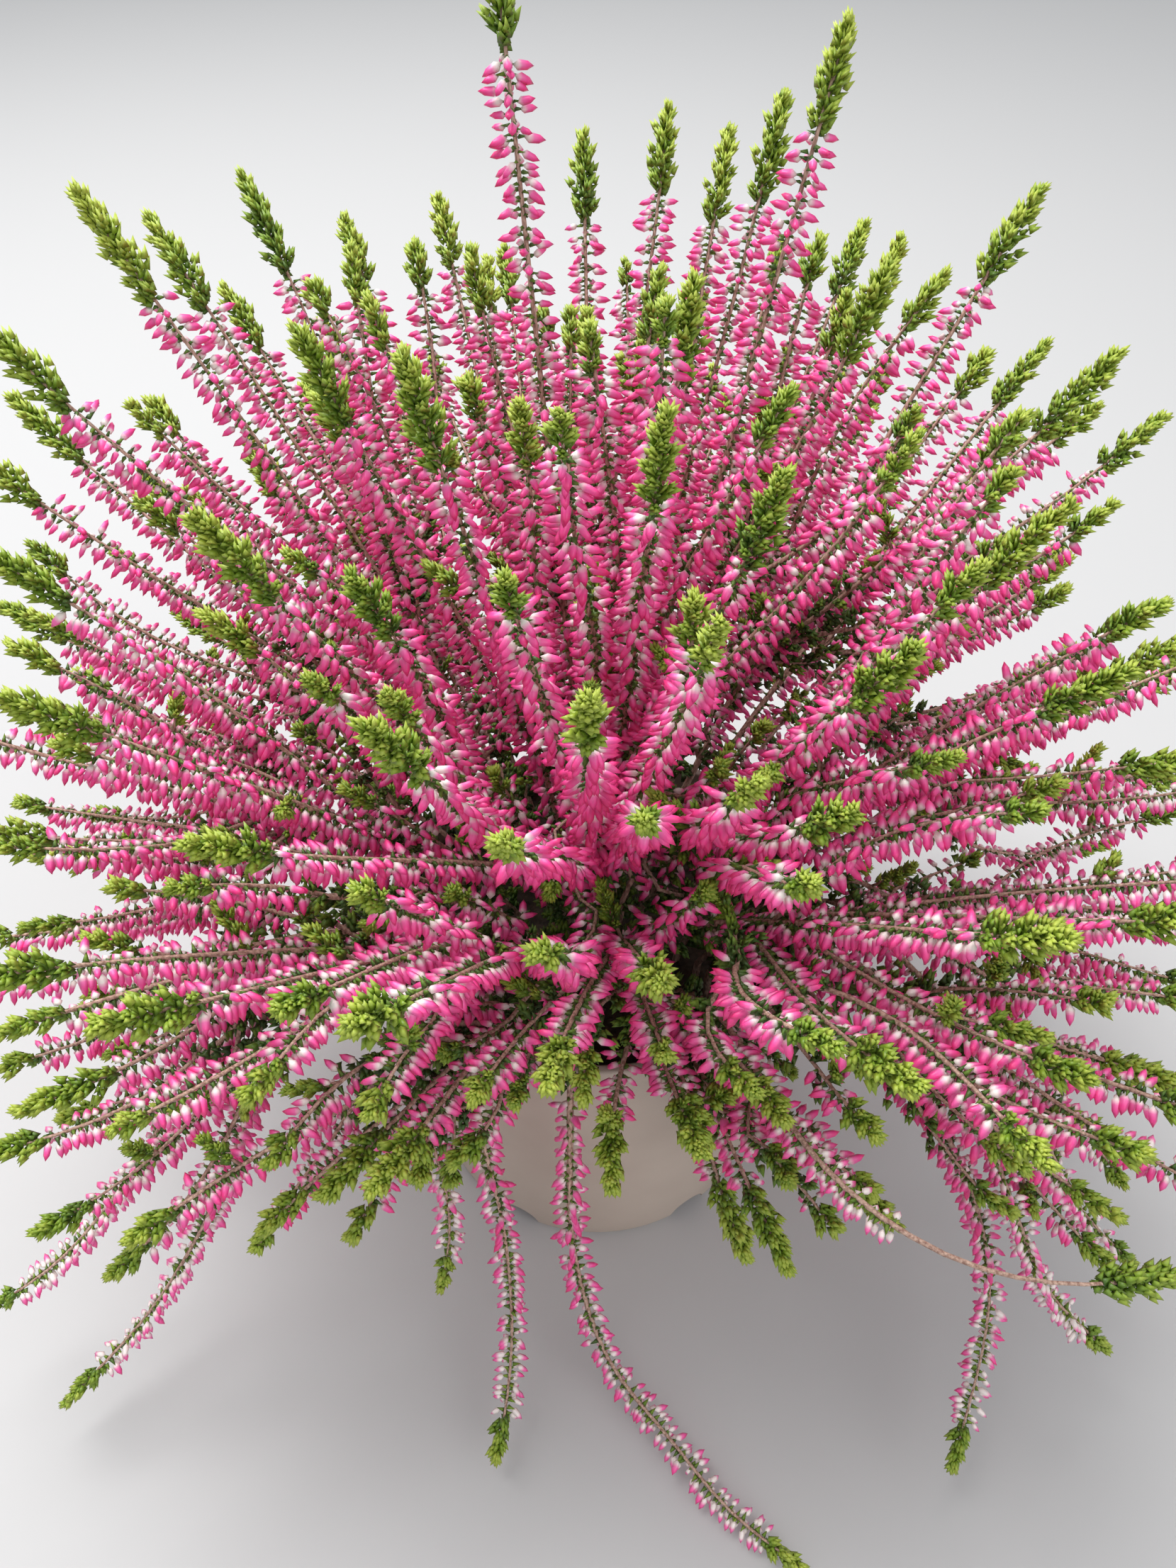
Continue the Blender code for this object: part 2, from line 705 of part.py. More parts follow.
def build():
    clear_scene()
    parts = new_collection("potted heather")
    cutters = new_collection("cutters", hidden=True)
    guides = new_collection("guides", hidden=True)
    plastic = make_material("taupe pot plastic", (0.52, 0.44, 0.38), 0.55)
    peat_material = make_material("dark peat", (0.035, 0.024, 0.017), 0.95)
    materials = {
        "bark": make_material("heather bark", (0.27, 0.15, 0.09), 0.8),
        "leaf": make_material("heather leaf", (0.09, 0.14, 0.03), 0.6),
        "bud": make_material("heather bud", (0.72, 0.05, 0.26), 0.45),
        "plume": make_material("heather plume", (0.30, 0.42, 0.05), 0.6),
    }
    plant = bpy.data.objects.new("plant", None)
    parts.objects.link(plant)
    section = stem_section(guides)
    sprays = lay_out()
    numbers = sorted({spray.branch for spray in sprays})
    roots = []
    for number in numbers:
        own = [spray for spray in sprays if spray.branch == number]
        roots.append(Vector(own[0].line[0]))
        trailing = number >= len(numbers) - len(TRAILING_SPRAYS)
        label = "trailing_spray" if trailing else "branch"
        name = f"{label}_{number + 1:02d}"
        build_branch(name, own, parts, section, materials, plant)
    build_pot(parts, cutters, plastic)
    build_peat(parts, cutters, peat_material, roots)


build()
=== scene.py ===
"""A potted heather in bud: pink closed buds and yellow-green leafy tips on woody sprays, in a plain pot."""

import json
import math

import bmesh
import bpy
import numpy as np
from mathutils import Matrix, Vector

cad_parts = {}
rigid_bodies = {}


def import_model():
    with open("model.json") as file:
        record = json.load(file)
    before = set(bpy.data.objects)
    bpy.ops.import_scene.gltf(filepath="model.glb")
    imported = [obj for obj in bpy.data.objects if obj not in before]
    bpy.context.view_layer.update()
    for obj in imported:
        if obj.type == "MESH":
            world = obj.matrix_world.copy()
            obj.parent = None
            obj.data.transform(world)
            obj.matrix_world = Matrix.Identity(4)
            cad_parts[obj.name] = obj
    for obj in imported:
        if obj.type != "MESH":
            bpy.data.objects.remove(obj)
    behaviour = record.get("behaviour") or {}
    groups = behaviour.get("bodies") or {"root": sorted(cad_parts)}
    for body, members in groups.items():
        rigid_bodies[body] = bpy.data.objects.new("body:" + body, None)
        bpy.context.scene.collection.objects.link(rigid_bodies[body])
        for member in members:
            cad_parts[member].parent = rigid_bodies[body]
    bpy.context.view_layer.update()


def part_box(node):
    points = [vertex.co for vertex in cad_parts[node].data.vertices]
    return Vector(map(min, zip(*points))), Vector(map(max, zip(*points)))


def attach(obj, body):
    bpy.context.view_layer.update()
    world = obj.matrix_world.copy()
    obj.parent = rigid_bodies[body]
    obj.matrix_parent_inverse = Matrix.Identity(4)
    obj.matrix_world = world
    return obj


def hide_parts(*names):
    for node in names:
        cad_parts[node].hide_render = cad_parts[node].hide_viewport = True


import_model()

# Camera
# It looks down at the plant from in front and above, from where a standing person takes a close picture.
EYE = (-0.003, -0.237, 0.400)
LOOK_DOWN = math.radians(45)
LENS_MM = 27.05
SENSOR_MM = 36
camera_data = bpy.data.cameras.new("eye")
camera_data.sensor_fit = "VERTICAL"
camera_data.sensor_height = SENSOR_MM
camera_data.lens = LENS_MM
camera_data.clip_start = 0.01
camera = bpy.data.objects.new("eye", camera_data)
camera.location = EYE
camera.rotation_euler = (math.pi / 2 - LOOK_DOWN, 0, 0)
bpy.context.scene.collection.objects.link(camera)
bpy.context.scene.camera = camera
bpy.context.scene.view_settings.view_transform = "Standard"


# Pot
# A thin round pot of matt taupe plastic, moulded in one piece, with a turned-out rim and six
# drainage arches through its foot. It stands free on its flat underside.
POT_STEPS = 144
POT_WALL = 0.0013
FOOT_ROUNDING = 0.003
RIM_LIP = 0.0016
RIM_HEIGHT = 0.007
EDGE_ROUNDING = 0.0008
LIP_ROUNDING = 0.0010
POT_BASE = 0.002
ARCHES = 6
FIRST_ARCH = math.radians(-117)
ARCH_WIDTH = 0.014
ARCH_HEIGHT = 0.008
ARCH_DEPTH = 0.012
FOOT_RADIUS = 0.0585
SHARP_EDGE = math.radians(35)
INNER_WALL_FROM = 0.006
INNER_WALL_BELOW_RIM = 0.004
INNER_WALL_POINTS = 12
OUTER_WALL_FROM = 0.004
OUTER_WALL_BELOW_LIP = 0.002
OUTER_WALL_POINTS = 14
LIP_FILLET = 0.0002
ARCH_FULLNESS = 0.8
ARCH_BELOW_FOOT = 0.002
ARCH_INSIDE = 0.6
ARCH_OUTSIDE = 0.4
SAME_PLACE = 1e-6
POT_COLOURS = [(0.30, (0.470, 0.385, 0.320)), (0.72, (0.560, 0.470, 0.395))]


def link(piece):
    bpy.context.scene.collection.objects.link(piece)
    return piece


def arc(centre_r, centre_z, radius, start, end, count=8):
    """Points on a circle in the (radius, height) plane between two angles in degrees."""
    angles = np.radians(np.linspace(start, end, count))
    return np.stack([centre_r + radius * np.cos(angles), centre_z + radius * np.sin(angles)], axis=1)


def round_mesh(name, points):
    """A closed mesh from points (i, j), where i goes once round the axis and j along the outline."""
    steps, columns, _ = points.shape
    i, j = np.meshgrid(np.arange(steps), np.arange(columns - 1), indexing="ij")
    here = i * columns + j
    beside = (i + 1) % steps * columns + j
    faces = np.stack([here, here + 1, beside + 1, beside], axis=2).reshape(-1, 4)
    mesh = bpy.data.meshes.new(name)
    mesh.from_pydata(points.reshape(-1, 3), [], faces)
    work = bmesh.new()
    work.from_mesh(mesh)
    bmesh.ops.remove_doubles(work, verts=work.verts, dist=SAME_PLACE)
    bmesh.ops.recalc_face_normals(work, faces=work.faces)
    work.to_mesh(mesh)
    work.free()
    return mesh


def turned(name, profile, steps):
    """A surface of turning: point (i, j) is profile point j turned through 360 i / steps degrees."""
    angles = np.arange(steps) * math.tau / steps
    r, z = profile[:, 0], profile[:, 1]
    x = np.cos(angles)[:, None] * r
    y = np.sin(angles)[:, None] * r
    mesh = round_mesh(name, np.stack([x, y, np.broadcast_to(z, x.shape)], axis=2))
    return bpy.data.objects.new(name, mesh)


def pot_profile(height, rim_radius):
    """The wall's outline: from the floor's middle inside, over the rim, to the underside's middle."""
    slope = (rim_radius - RIM_LIP - FOOT_RADIUS) / height
    inner_foot = FOOT_RADIUS + slope * POT_BASE - POT_WALL
    inner_rim = rim_radius - RIM_LIP - POT_WALL
    lip_low = height - RIM_HEIGHT
    up = np.linspace(INNER_WALL_FROM, height - INNER_WALL_BELOW_RIM, INNER_WALL_POINTS)
    inner_wall = np.stack([inner_foot + slope * up, POT_BASE + up], axis=1)
    outer_up = np.linspace(lip_low - OUTER_WALL_BELOW_LIP, OUTER_WALL_FROM, OUTER_WALL_POINTS)
    outer_wall = np.stack([FOOT_RADIUS + slope * outer_up, outer_up], axis=1)
    return np.vstack([
        [(0, POT_BASE), (0.5 * inner_foot, POT_BASE)],
        arc(inner_foot - FOOT_ROUNDING, POT_BASE + FOOT_ROUNDING, FOOT_ROUNDING, -90, 0),
        inner_wall,
        arc(inner_rim + EDGE_ROUNDING, height - EDGE_ROUNDING, EDGE_ROUNDING, 180, 90, 5),
        arc(rim_radius - LIP_ROUNDING, height - LIP_ROUNDING, LIP_ROUNDING, 90, 0, 6),
        arc(rim_radius - EDGE_ROUNDING, lip_low + EDGE_ROUNDING, EDGE_ROUNDING, 0, -60, 5),
        [(FOOT_RADIUS + slope * lip_low + LIP_FILLET, lip_low)],
        outer_wall,
        arc(FOOT_RADIUS - FOOT_ROUNDING, FOOT_ROUNDING, FOOT_ROUNDING, 0, -90),
        [(0.6 * FOOT_RADIUS, 0), (0, 0)],
    ])


def arch_cutters():
    """Round-topped blocks through the foot of the wall: an arch outline pushed inwards from outside."""
    work = bmesh.new()
    turn = np.radians(np.linspace(0, 180, 13))
    half = 0.5 * ARCH_WIDTH
    outline = np.stack([half * np.cos(turn), ARCH_HEIGHT * np.sin(turn) ** ARCH_FULLNESS], axis=1)
    outline = np.vstack([outline, [(-half, -ARCH_BELOW_FOOT), (half, -ARCH_BELOW_FOOT)]])
    for k in range(ARCHES):
        angle = FIRST_ARCH + math.tau * k / ARCHES
        rings = []
        for depth in (FOOT_RADIUS - ARCH_INSIDE * ARCH_DEPTH, FOOT_RADIUS + ARCH_OUTSIDE * ARCH_DEPTH):
            rings.append([work.verts.new((depth, y, z)) for y, z in outline])
        work.faces.new(rings[0])
        work.faces.new(rings[1])
        for a in range(len(outline)):
            b = (a + 1) % len(outline)
            work.faces.new((rings[0][a], rings[0][b], rings[1][b], rings[1][a]))
        bmesh.ops.rotate(work, verts=rings[0] + rings[1], matrix=Matrix.Rotation(angle, 3, "Z"))
    bmesh.ops.recalc_face_normals(work, faces=work.faces)
    mesh = bpy.data.meshes.new("arches")
    work.to_mesh(mesh)
    work.free()
    return bpy.data.objects.new("arches", mesh)


def new_material(name):
    """(material, its nodes, its links, its Principled shader)"""
    material = bpy.data.materials.new(name)
    material.use_nodes = True
    tree = material.node_tree
    return material, tree.nodes, tree.links, tree.nodes["Principled BSDF"]


def object_place(nodes):
    return nodes.new("ShaderNodeTexCoord").outputs["Object"]


def noise(nodes, links, place, scale, detail):
    """Noise with about scale waves a metre."""
    grain = nodes.new("ShaderNodeTexNoise")
    grain.inputs["Scale"].default_value = scale
    grain.inputs["Detail"].default_value = detail
    links.new(place, grain.inputs["Vector"])
    return grain.outputs["Fac"]


def coloured(nodes, links, shader, share, stops):
    """Base colour that blends through stops, (share, colour), as share rises."""
    shade = nodes.new("ShaderNodeValToRGB")
    elements = shade.color_ramp.elements
    for k, (position, colour) in enumerate(stops):
        element = elements[k] if k < 2 else elements.new(position)
        element.position = position
        element.color = (*colour, 1)
    links.new(share, shade.inputs["Fac"])
    links.new(shade.outputs["Color"], shader.inputs["Base Color"])


def rough(nodes, links, shader, share, start, end):
    """Roughness that goes from start to end as share goes from 0 to 1."""
    spread = nodes.new("ShaderNodeMapRange")
    spread.inputs["To Min"].default_value = start
    spread.inputs["To Max"].default_value = end
    links.new(share, spread.inputs["Value"])
    links.new(spread.outputs["Result"], shader.inputs["Roughness"])


def relief(nodes, links, shader, height, strength, depth):
    """Bumps up to depth metres high."""
    bump = nodes.new("ShaderNodeBump")
    bump.inputs["Strength"].default_value = strength
    bump.inputs["Distance"].default_value = depth
    links.new(height, bump.inputs["Height"])
    links.new(bump.outputs["Normal"], shader.inputs["Normal"])


def pot_plastic():
    """Matt taupe in two close shades, with a very fine grain."""
    material, nodes, links, shader = new_material("taupe_pot_plastic")
    place = object_place(nodes)
    cloud = noise(nodes, links, place, 22, 4)
    coloured(nodes, links, shader, cloud, POT_COLOURS)
    rough(nodes, links, shader, cloud, 0.50, 0.66)
    relief(nodes, links, shader, noise(nodes, links, place, 1800, 2), 0.12, 0.0002)
    return material


_, pot_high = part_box("pot")
pot = link(turned("pot_shell", pot_profile(pot_high.z, pot_high.x), POT_STEPS))
arches = link(arch_cutters())
cut = pot.modifiers.new("drainage", "BOOLEAN")
cut.operation = "DIFFERENCE"
cut.object = arches
pot.data = bpy.data.meshes.new_from_object(pot.evaluated_get(bpy.context.evaluated_depsgraph_get()))
pot.modifiers.clear()
bpy.data.objects.remove(arches)
pot.data.shade_smooth()
pot.data.set_sharp_from_angle(angle=SHARP_EDGE)
pot.data.materials.clear()
pot.data.materials.append(pot_plastic())
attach(pot, "root")
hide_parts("pot")


# Peat
# The pot is filled with dark fibrous peat, held together by the plant's fine roots. Its top is
# crumbly and a little domed, and the branches stand in it.
PEAT_RINGS = 44
PEAT_SPOKES = 132
CRUMB_HEIGHT = 0.0099
CRUMB_WAVES = 60
CRUMB_SIZES = (0.0025, 0.012)
CRUMB_MEAN = 0.64
CRUMB_SEED = 5
CRUMB_FADE = 12
DOME = 0.0040
PEAT_BELOW_BOX = 0.0008
PEAT_EDGE_DROP = 0.0052
PEAT_FOOT_ROUNDING = 0.004
PEAT_SIDE_POINTS = 8
PEAT_GAP = 0.0005
PEAT_COLOURS = [(0.32, (0.010, 0.006, 0.004)), (0.75, (0.075, 0.046, 0.028))]


def crumbs(x, y, seed):
    """Lumpy relief: a sum of sine waves that run every way, most of them a few millimetres long."""
    draw = np.random.default_rng(seed)
    turn = draw.uniform(0, math.tau, CRUMB_WAVES)
    wave = math.tau / draw.uniform(*CRUMB_SIZES, CRUMB_WAVES)
    phase = draw.uniform(0, math.tau, CRUMB_WAVES)
    along = x[..., None] * np.cos(turn) + y[..., None] * np.sin(turn)
    return np.abs(np.sin(along * wave + phase)).mean(axis=-1) - CRUMB_MEAN


def peat_ball():
    """A turned ball whose top is a polar grid: height is a dome plus crumbs, fading at the pot's wall."""
    low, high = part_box("peat_root_ball")
    top_radius = high.x
    foot_radius = FOOT_RADIUS - POT_WALL - PEAT_GAP
    share = np.linspace(0, 1, PEAT_RINGS)
    angles = np.arange(PEAT_SPOKES) * math.tau / PEAT_SPOKES
    r = top_radius * share[None, :]
    x = np.cos(angles)[:, None] * r
    y = np.sin(angles)[:, None] * r
    dome = high.z - PEAT_BELOW_BOX - DOME * share**2
    fade = np.minimum(1, CRUMB_FADE * share * (1 - share))
    z = dome[None, :] + CRUMB_HEIGHT * crumbs(x, y, CRUMB_SEED) * fade
    side_z = np.linspace(high.z - PEAT_EDGE_DROP, low.z + PEAT_FOOT_ROUNDING, PEAT_SIDE_POINTS)
    side_r = np.interp(side_z, [low.z, high.z], [foot_radius, top_radius])
    side_r = np.append(side_r, [foot_radius - PEAT_FOOT_ROUNDING, 0])
    side_z = np.append(side_z, [low.z, low.z])
    x = np.hstack([x, np.cos(angles)[:, None] * side_r])
    y = np.hstack([y, np.sin(angles)[:, None] * side_r])
    z = np.hstack([z, np.broadcast_to(side_z, (PEAT_SPOKES, len(side_z)))])
    mesh = round_mesh("peat_top", np.stack([x, y, z], axis=2))
    mesh.shade_smooth()
    return link(bpy.data.objects.new("peat_with_roots", mesh))


def dark_peat():
    """Nearly black to brown, fibrous, with deep crumbs."""
    material, nodes, links, shader = new_material("dark_peat")
    place = object_place(nodes)
    crumb = nodes.new("ShaderNodeTexVoronoi")
    crumb.inputs["Scale"].default_value = 420
    links.new(place, crumb.inputs["Vector"])
    coloured(nodes, links, shader, noise(nodes, links, place, 300, 6), PEAT_COLOURS)
    relief(nodes, links, shader, crumb.outputs["Distance"], 0.9, 0.0012)
    shader.inputs["Roughness"].default_value = 0.95
    return material


peat = peat_ball()
peat.data.materials.append(dark_peat())
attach(peat, "root")
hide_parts("peat_root_ball")


# Routes of the sprays
# A heather's branches come out of the peat close to the middle, rise, and lean out over the rim. Each
# forks into one or more sprays. These are the routes that the solids in the frame were built along.
POT_HEIGHT = pot_high.z
RIM_RADIUS = pot_high.x
PEAT_TOP = 0.104
HOLE_DEPTH = 0.009
FIT_GAP = 0.0003
RIM_EDGE = 0.0008
CROWN = Vector((0, 0, 0.112))
ROOT_SPREAD = 0.046
RISE = 0.034
SAG = 0.010
ARCH = 0.060
ARCH_BELOW = 0.25
MIDDLE_SHARE = 0.58
TRAILING_RISE = 0.016
FORK_SHARE = 0.34
SPRAY_SPACING = math.radians(15.5)
SIDE_ANGLE = math.radians(13)
SIDE_ROOM = math.radians(12.6)
BUSH_LOWEST = math.radians(-16)
BUSH_REACH = 0.200
REACH_WAVE = 0.012
FRONT_DEPTH = 0.070
FRONT_SPLAY = 0.080
FRONT_LEAN = 0.458
SHORTEST_REACH = 0.125
SIDE_REACH = 0.90
SIDE_SETOUT = 0.22
SIDE_MIDDLE_SHARE = 0.66
SIDE_WAYS = 8
CANDIDATES = 240
MOST_BRANCHES = 53
SHOOT_SPACING = math.radians(9.4)
SHOOT_CANDIDATES = 420
SHOOT_TURN = 1.0
MOST_SHOOTS = 42
SHOOT_LOWEST = math.radians(-12)
SHOOT_REACH = 0.90
SHOOT_FORK_SHARE = 0.42
SHOOT_SIDE_FORK = 3
GOLDEN_ANGLE = math.pi * (3 - math.sqrt(5))
SAMPLES = 30
CUBIC_STEPS = 8
CLEAR_ROUNDS = 300
NEIGHBOUR_ROUNDS = 8
NEIGHBOUR_REACH = 0.022
ROOM = 0.0013
CLOSENESS_SHARE = 0.5
RIM_MIDDLE = RIM_RADIUS - 0.001
RIM_CLEARANCE = 0.003
ROOT_SAMPLES = 3
OUTSIDE_FROM = RIM_RADIUS - 0.004
WALL_CLEARANCE = 0.001
SURFACE_CLEARANCE = 0.0008
BARE_UNTIL = 0.030
BUDS_FROM = 0.074
PLUME_LENGTH = 0.026
SHOOT_PLUME_LENGTH = 0.019
ROOM_OF_BARK = 0.0024
ROOM_OF_LEAVES = 0.0033
ROOM_OF_BUDS = 0.0060
ROOM_OF_PLUME = 0.0050

# Branches that give the plant its outline, each with its sprays as azimuth and elevation about the
# crown in degrees and reach from the crown in millimetres.
OUTLINE_BRANCHES = [
    [(115, 78, 248)],
    [(146, 52, 224), (137, 56, 222)],
    [(134, 42, 214), (121, 48, 216)],
    [(110, 50, 214), (101, 42, 210)],
    [(92, 56, 220), (80, 63, 220)],
    [(73, 57, 222), (62, 65, 224)],
    [(58, 47, 216), (48, 54, 206)],
    [(40, 74, 236), (25, 69, 196)],
    [(31, 57, 224), (18, 50, 206)],
    [(38, 38, 214), (24, 36, 214)],
    [(168, 61, 230), (-178, 56, 222)],
    [(157, 37, 220), (171, 42, 212)],
    [(-92, 60, 190)],
    [(-112, 57, 190), (-129, 47, 176)],
    [(-107, 43, 188)],
    [(-84, 44, 146), (-95, 37, 150)],
    [(-141, 76, 196), (-170, 72, 196)],
    [(-75, 77, 190), (-50, 73, 180)],
    [(-54, 42, 184), (-66, 36, 170)],
    [(-146, 62, 192), (-133, 66, 172)],
    [(20, 84, 190)],
    [(-50, 60, 176), (-63, 53, 165)],
    [(-149, 47, 196), (-163, 50, 200)],
    [(-126, 37, 188), (-139, 33, 192)],
    [(-30, 50, 184), (-16, 58, 186)],
    [(-38, 35, 188), (-26, 30, 196)],
]

# Sprays that hang over the rim and trail, as points in millimetres after the root's azimuth in degrees.
TRAILING_SPRAYS = [
    (
        -96,
        [
            (-7, -64, 134), (-8, -80, 96), (-7, -88, 52), (3, -107, 22),
            (22, -126, 10), (38, -144, 8), (57, -158, 8),
        ],
    ),
    (
        -115,
        [(-29, -56, 136), (-33, -72, 108), (-28, -84, 66), (-26, -98, 36), (-27, -115, 20), (-30, -131, 13)],
    ),
    (-133, [(-44, -48, 138), (-50, -66, 116), (-44, -80, 84), (-43, -88, 66), (-46, -97, 52)]),
    (-147, [(-60, -44, 136), (-90, -62, 116), (-112, -80, 70), (-134, -98, 38), (-158, -119, 22)]),
    (-160, [(-64, -28, 137), (-102, -58, 124), (-134, -80, 84), (-156, -92, 60), (-180, -101, 44)]),
    (-44, [(52, -48, 136), (84, -70, 120), (106, -86, 82), (115, -102, 44), (102, -136, 22)]),
    (-36, [(64, -40, 138), (92, -74, 134), (108, -96, 104), (126, -104, 66), (146, -111, 44)]),
    (-66, [(30, -62, 142), (48, -108, 152), (70, -129, 152), (96, -135, 148), (126, -131, 141)]),
    (-24, [(72, -30, 138), (106, -56, 119), (126, -68, 92), (143, -79, 64), (160, -88, 48)]),
    (-5, [(74, -14, 138), (112, -34, 120), (134, -47, 90), (150, -56, 68), (162, -66, 56)]),
]


def heading(azimuth, elevation):
    flat = math.cos(elevation)
    return Vector((flat * math.cos(azimuth), flat * math.sin(azimuth), math.sin(elevation)))


def listed_branches():
    """The outline branches as lists of (direction, reach)."""
    return [
        [(heading(math.radians(a), math.radians(e)), reach / 1000) for a, e, reach in sprays]
        for sprays in OUTLINE_BRANCHES
    ]


def usual_reach(direction):
    """The bush is a little longer at the back and shorter low down, and ends at its front."""
    reach = BUSH_REACH + REACH_WAVE * direction.y + REACH_WAVE * (direction.z - 0.5)
    return max(SHORTEST_REACH, min(reach, front_reach(direction)))


def front_reach(direction):
    """Reach to a plane in front where the bush ends. It leans forward, and is further out at the sides."""
    forward = -direction.y - FRONT_LEAN * direction.z
    if forward <= 0:
        return math.inf
    return (FRONT_DEPTH + FRONT_SPLAY * abs(direction.x)) / forward


def trailing_heading(points):
    return (Vector(points[2]) / 1000 - CROWN).normalized()


def ways_down(candidates, lowest, turn):
    """Directions from straight up down to the lowest elevation, each a golden angle round from the last."""
    for i in range(candidates):
        height = 1 - (i + 0.5) / candidates * (1 - math.sin(lowest))
        yield heading(i * GOLDEN_ANGLE + turn, math.asin(height))


def room_round(way, taken):
    """Angle from a direction to the nearest one that is taken."""
    return min((way.angle(other) for other in taken), default=math.pi)


def nearest(way, others):
    return min(range(len(others)), key=lambda k: way.angle(others[k]))


def fill_branches(branches):
    """Adds branches where there is room, walking down the bush in golden-angle steps.

    A new branch also takes a side spray, in the one of SIDE_WAYS directions round it that has the
    most room, if that is room enough.
    """
    taken = [direction for branch in branches for direction, _ in branch]
    taken += [trailing_heading(points) for _, points in TRAILING_SPRAYS]
    for new in ways_down(CANDIDATES, BUSH_LOWEST, 0):
        if len(branches) + len(TRAILING_SPRAYS) >= MOST_BRANCHES:
            break
        if room_round(new, taken) < SPRAY_SPACING:
            continue
        ways = [side_direction(new, math.tau * k / SIDE_WAYS) for k in range(SIDE_WAYS)]
        rooms = [room_round(way, taken) for way in ways]
        side = ways[rooms.index(max(rooms))]
        branches.append([(new, usual_reach(new))])
        taken.append(new)
        if max(rooms) > SIDE_ROOM:
            branches[-1].append((side, SIDE_REACH * usual_reach(side)))
            taken.append(side)
    return branches


def side_direction(direction, turn):
    """The direction SIDE_ANGLE away from another, turned about it."""
    across = direction.orthogonal().normalized()
    across.rotate(Matrix.Rotation(turn, 3, direction))
    return (math.cos(SIDE_ANGLE) * direction + math.sin(SIDE_ANGLE) * across).normalized()


def bezier(p0, p1, p2, p3):
    t = np.linspace(0, 1, SAMPLES)[:, None]
    p0, p1, p2, p3 = (np.array(p) for p in (p0, p1, p2, p3))
    return (1 - t) ** 3 * p0 + 3 * (1 - t) ** 2 * t * p1 + 3 * (1 - t) * t**2 * p2 + t**3 * p3


def lengths_along(points):
    steps = np.linalg.norm(np.diff(points, axis=0), axis=1)
    return np.concatenate([[0], np.cumsum(steps)])


def evenly(points, count=SAMPLES):
    """The same line with its points spaced evenly."""
    along = lengths_along(points)
    wanted = np.linspace(0, along[-1], count)
    return np.stack([np.interp(wanted, along, points[:, k]) for k in range(3)], axis=1)


def through(points):
    """A smooth line through points, as Catmull and Rom's cubic between each two of them."""
    points = np.array(points)
    ends = np.vstack([2 * points[0] - points[1], points, 2 * points[-1] - points[-2]])
    t = np.linspace(0, 1, CUBIC_STEPS, endpoint=False)[:, None]
    pieces = []
    for a, b, c, d in zip(ends, ends[1:], ends[2:], ends[3:]):
        pieces.append(
            0.5 * (2 * b + (c - a) * t + (2 * a - 5 * b + 4 * c - d) * t**2 + (3 * b - a - 3 * c + d) * t**3)
        )
    return evenly(np.vstack([*pieces, points[-1:]]))


def root_place(azimuth, sine_of_elevation):
    spread = ROOT_SPREAD * math.sqrt(min(1, max(0, 1 - sine_of_elevation)))
    return Vector((spread * math.cos(azimuth), spread * math.sin(azimuth), PEAT_TOP))


class Spray:
    """One shoot: its branch's number, and its line from the soil, or a sample of its parent, to its tip."""

    def __init__(self, branch, line, parent=None, fork=None, plume=PLUME_LENGTH):
        self.branch = branch
        self.line = line
        self.parent = parent
        self.fork = fork
        self.plume = plume

    def along(self):
        return lengths_along(self.line)

    def grown(self):
        """Length of stem behind the spray's first point."""
        return 0 if self.parent is None else self.parent.along()[self.fork]


def room_at(from_soil, to_tip, plume):
    """How far what covers a stem reaches from its middle, and so keeps other branches away."""
    if to_tip < plume:
        return ROOM_OF_PLUME
    if from_soil < BARE_UNTIL:
        return ROOM_OF_BARK
    return ROOM_OF_LEAVES if from_soil < BUDS_FROM else ROOM_OF_BUDS


def main_line(direction, reach):
    azimuth = math.atan2(direction.y, direction.x)
    root = root_place(azimuth, direction.z)
    tip = CROWN + reach * direction
    level = 1 - abs(direction.z)
    over_rim = ARCH * max(0, ARCH_BELOW - direction.z)
    middle = CROWN + MIDDLE_SHARE * reach * direction + Vector((0, 0, over_rim - SAG * level))
    return evenly(bezier(root, root + Vector((0, 0, RISE)), middle, tip))


def side_line(parent, fork, direction, reach):
    start = Vector(parent.line[fork])
    onward = (Vector(parent.line[fork + 1]) - start).normalized()
    tip = CROWN + reach * direction
    length = (tip - start).length
    middle = CROWN + SIDE_MIDDLE_SHARE * reach * direction
    return evenly(bezier(start, start + SIDE_SETOUT * length * onward, middle, tip))


def way_out(spray):
    return (Vector(spray.line[-1]) - CROWN).normalized()


def side_shoots(sprays):
    """Lesser shoots in golden-angle directions that no spray has taken, each forked from the nearest one.

    The front has none where the bush ends close to the rim, so the pot shows there.
    """
    carriers = [way_out(spray) for spray in sprays]
    taken = carriers + [trailing_heading(points) for _, points in TRAILING_SPRAYS]
    shoots = []
    for way in ways_down(SHOOT_CANDIDATES, SHOOT_LOWEST, SHOOT_TURN):
        if len(shoots) == MOST_SHOOTS:
            break
        if room_round(way, taken) < SHOOT_SPACING or front_reach(way) < SHORTEST_REACH:
            continue
        parent = sprays[nearest(way, carriers)]
        fork = round(SHOOT_FORK_SHARE * SAMPLES) if parent.parent is None else SHOOT_SIDE_FORK
        line = side_line(parent, fork, way, SHOOT_REACH * usual_reach(way))
        shoots.append(Spray(parent.branch, line, parent, fork, SHOOT_PLUME_LENGTH))
        taken.append(way)
    return shoots


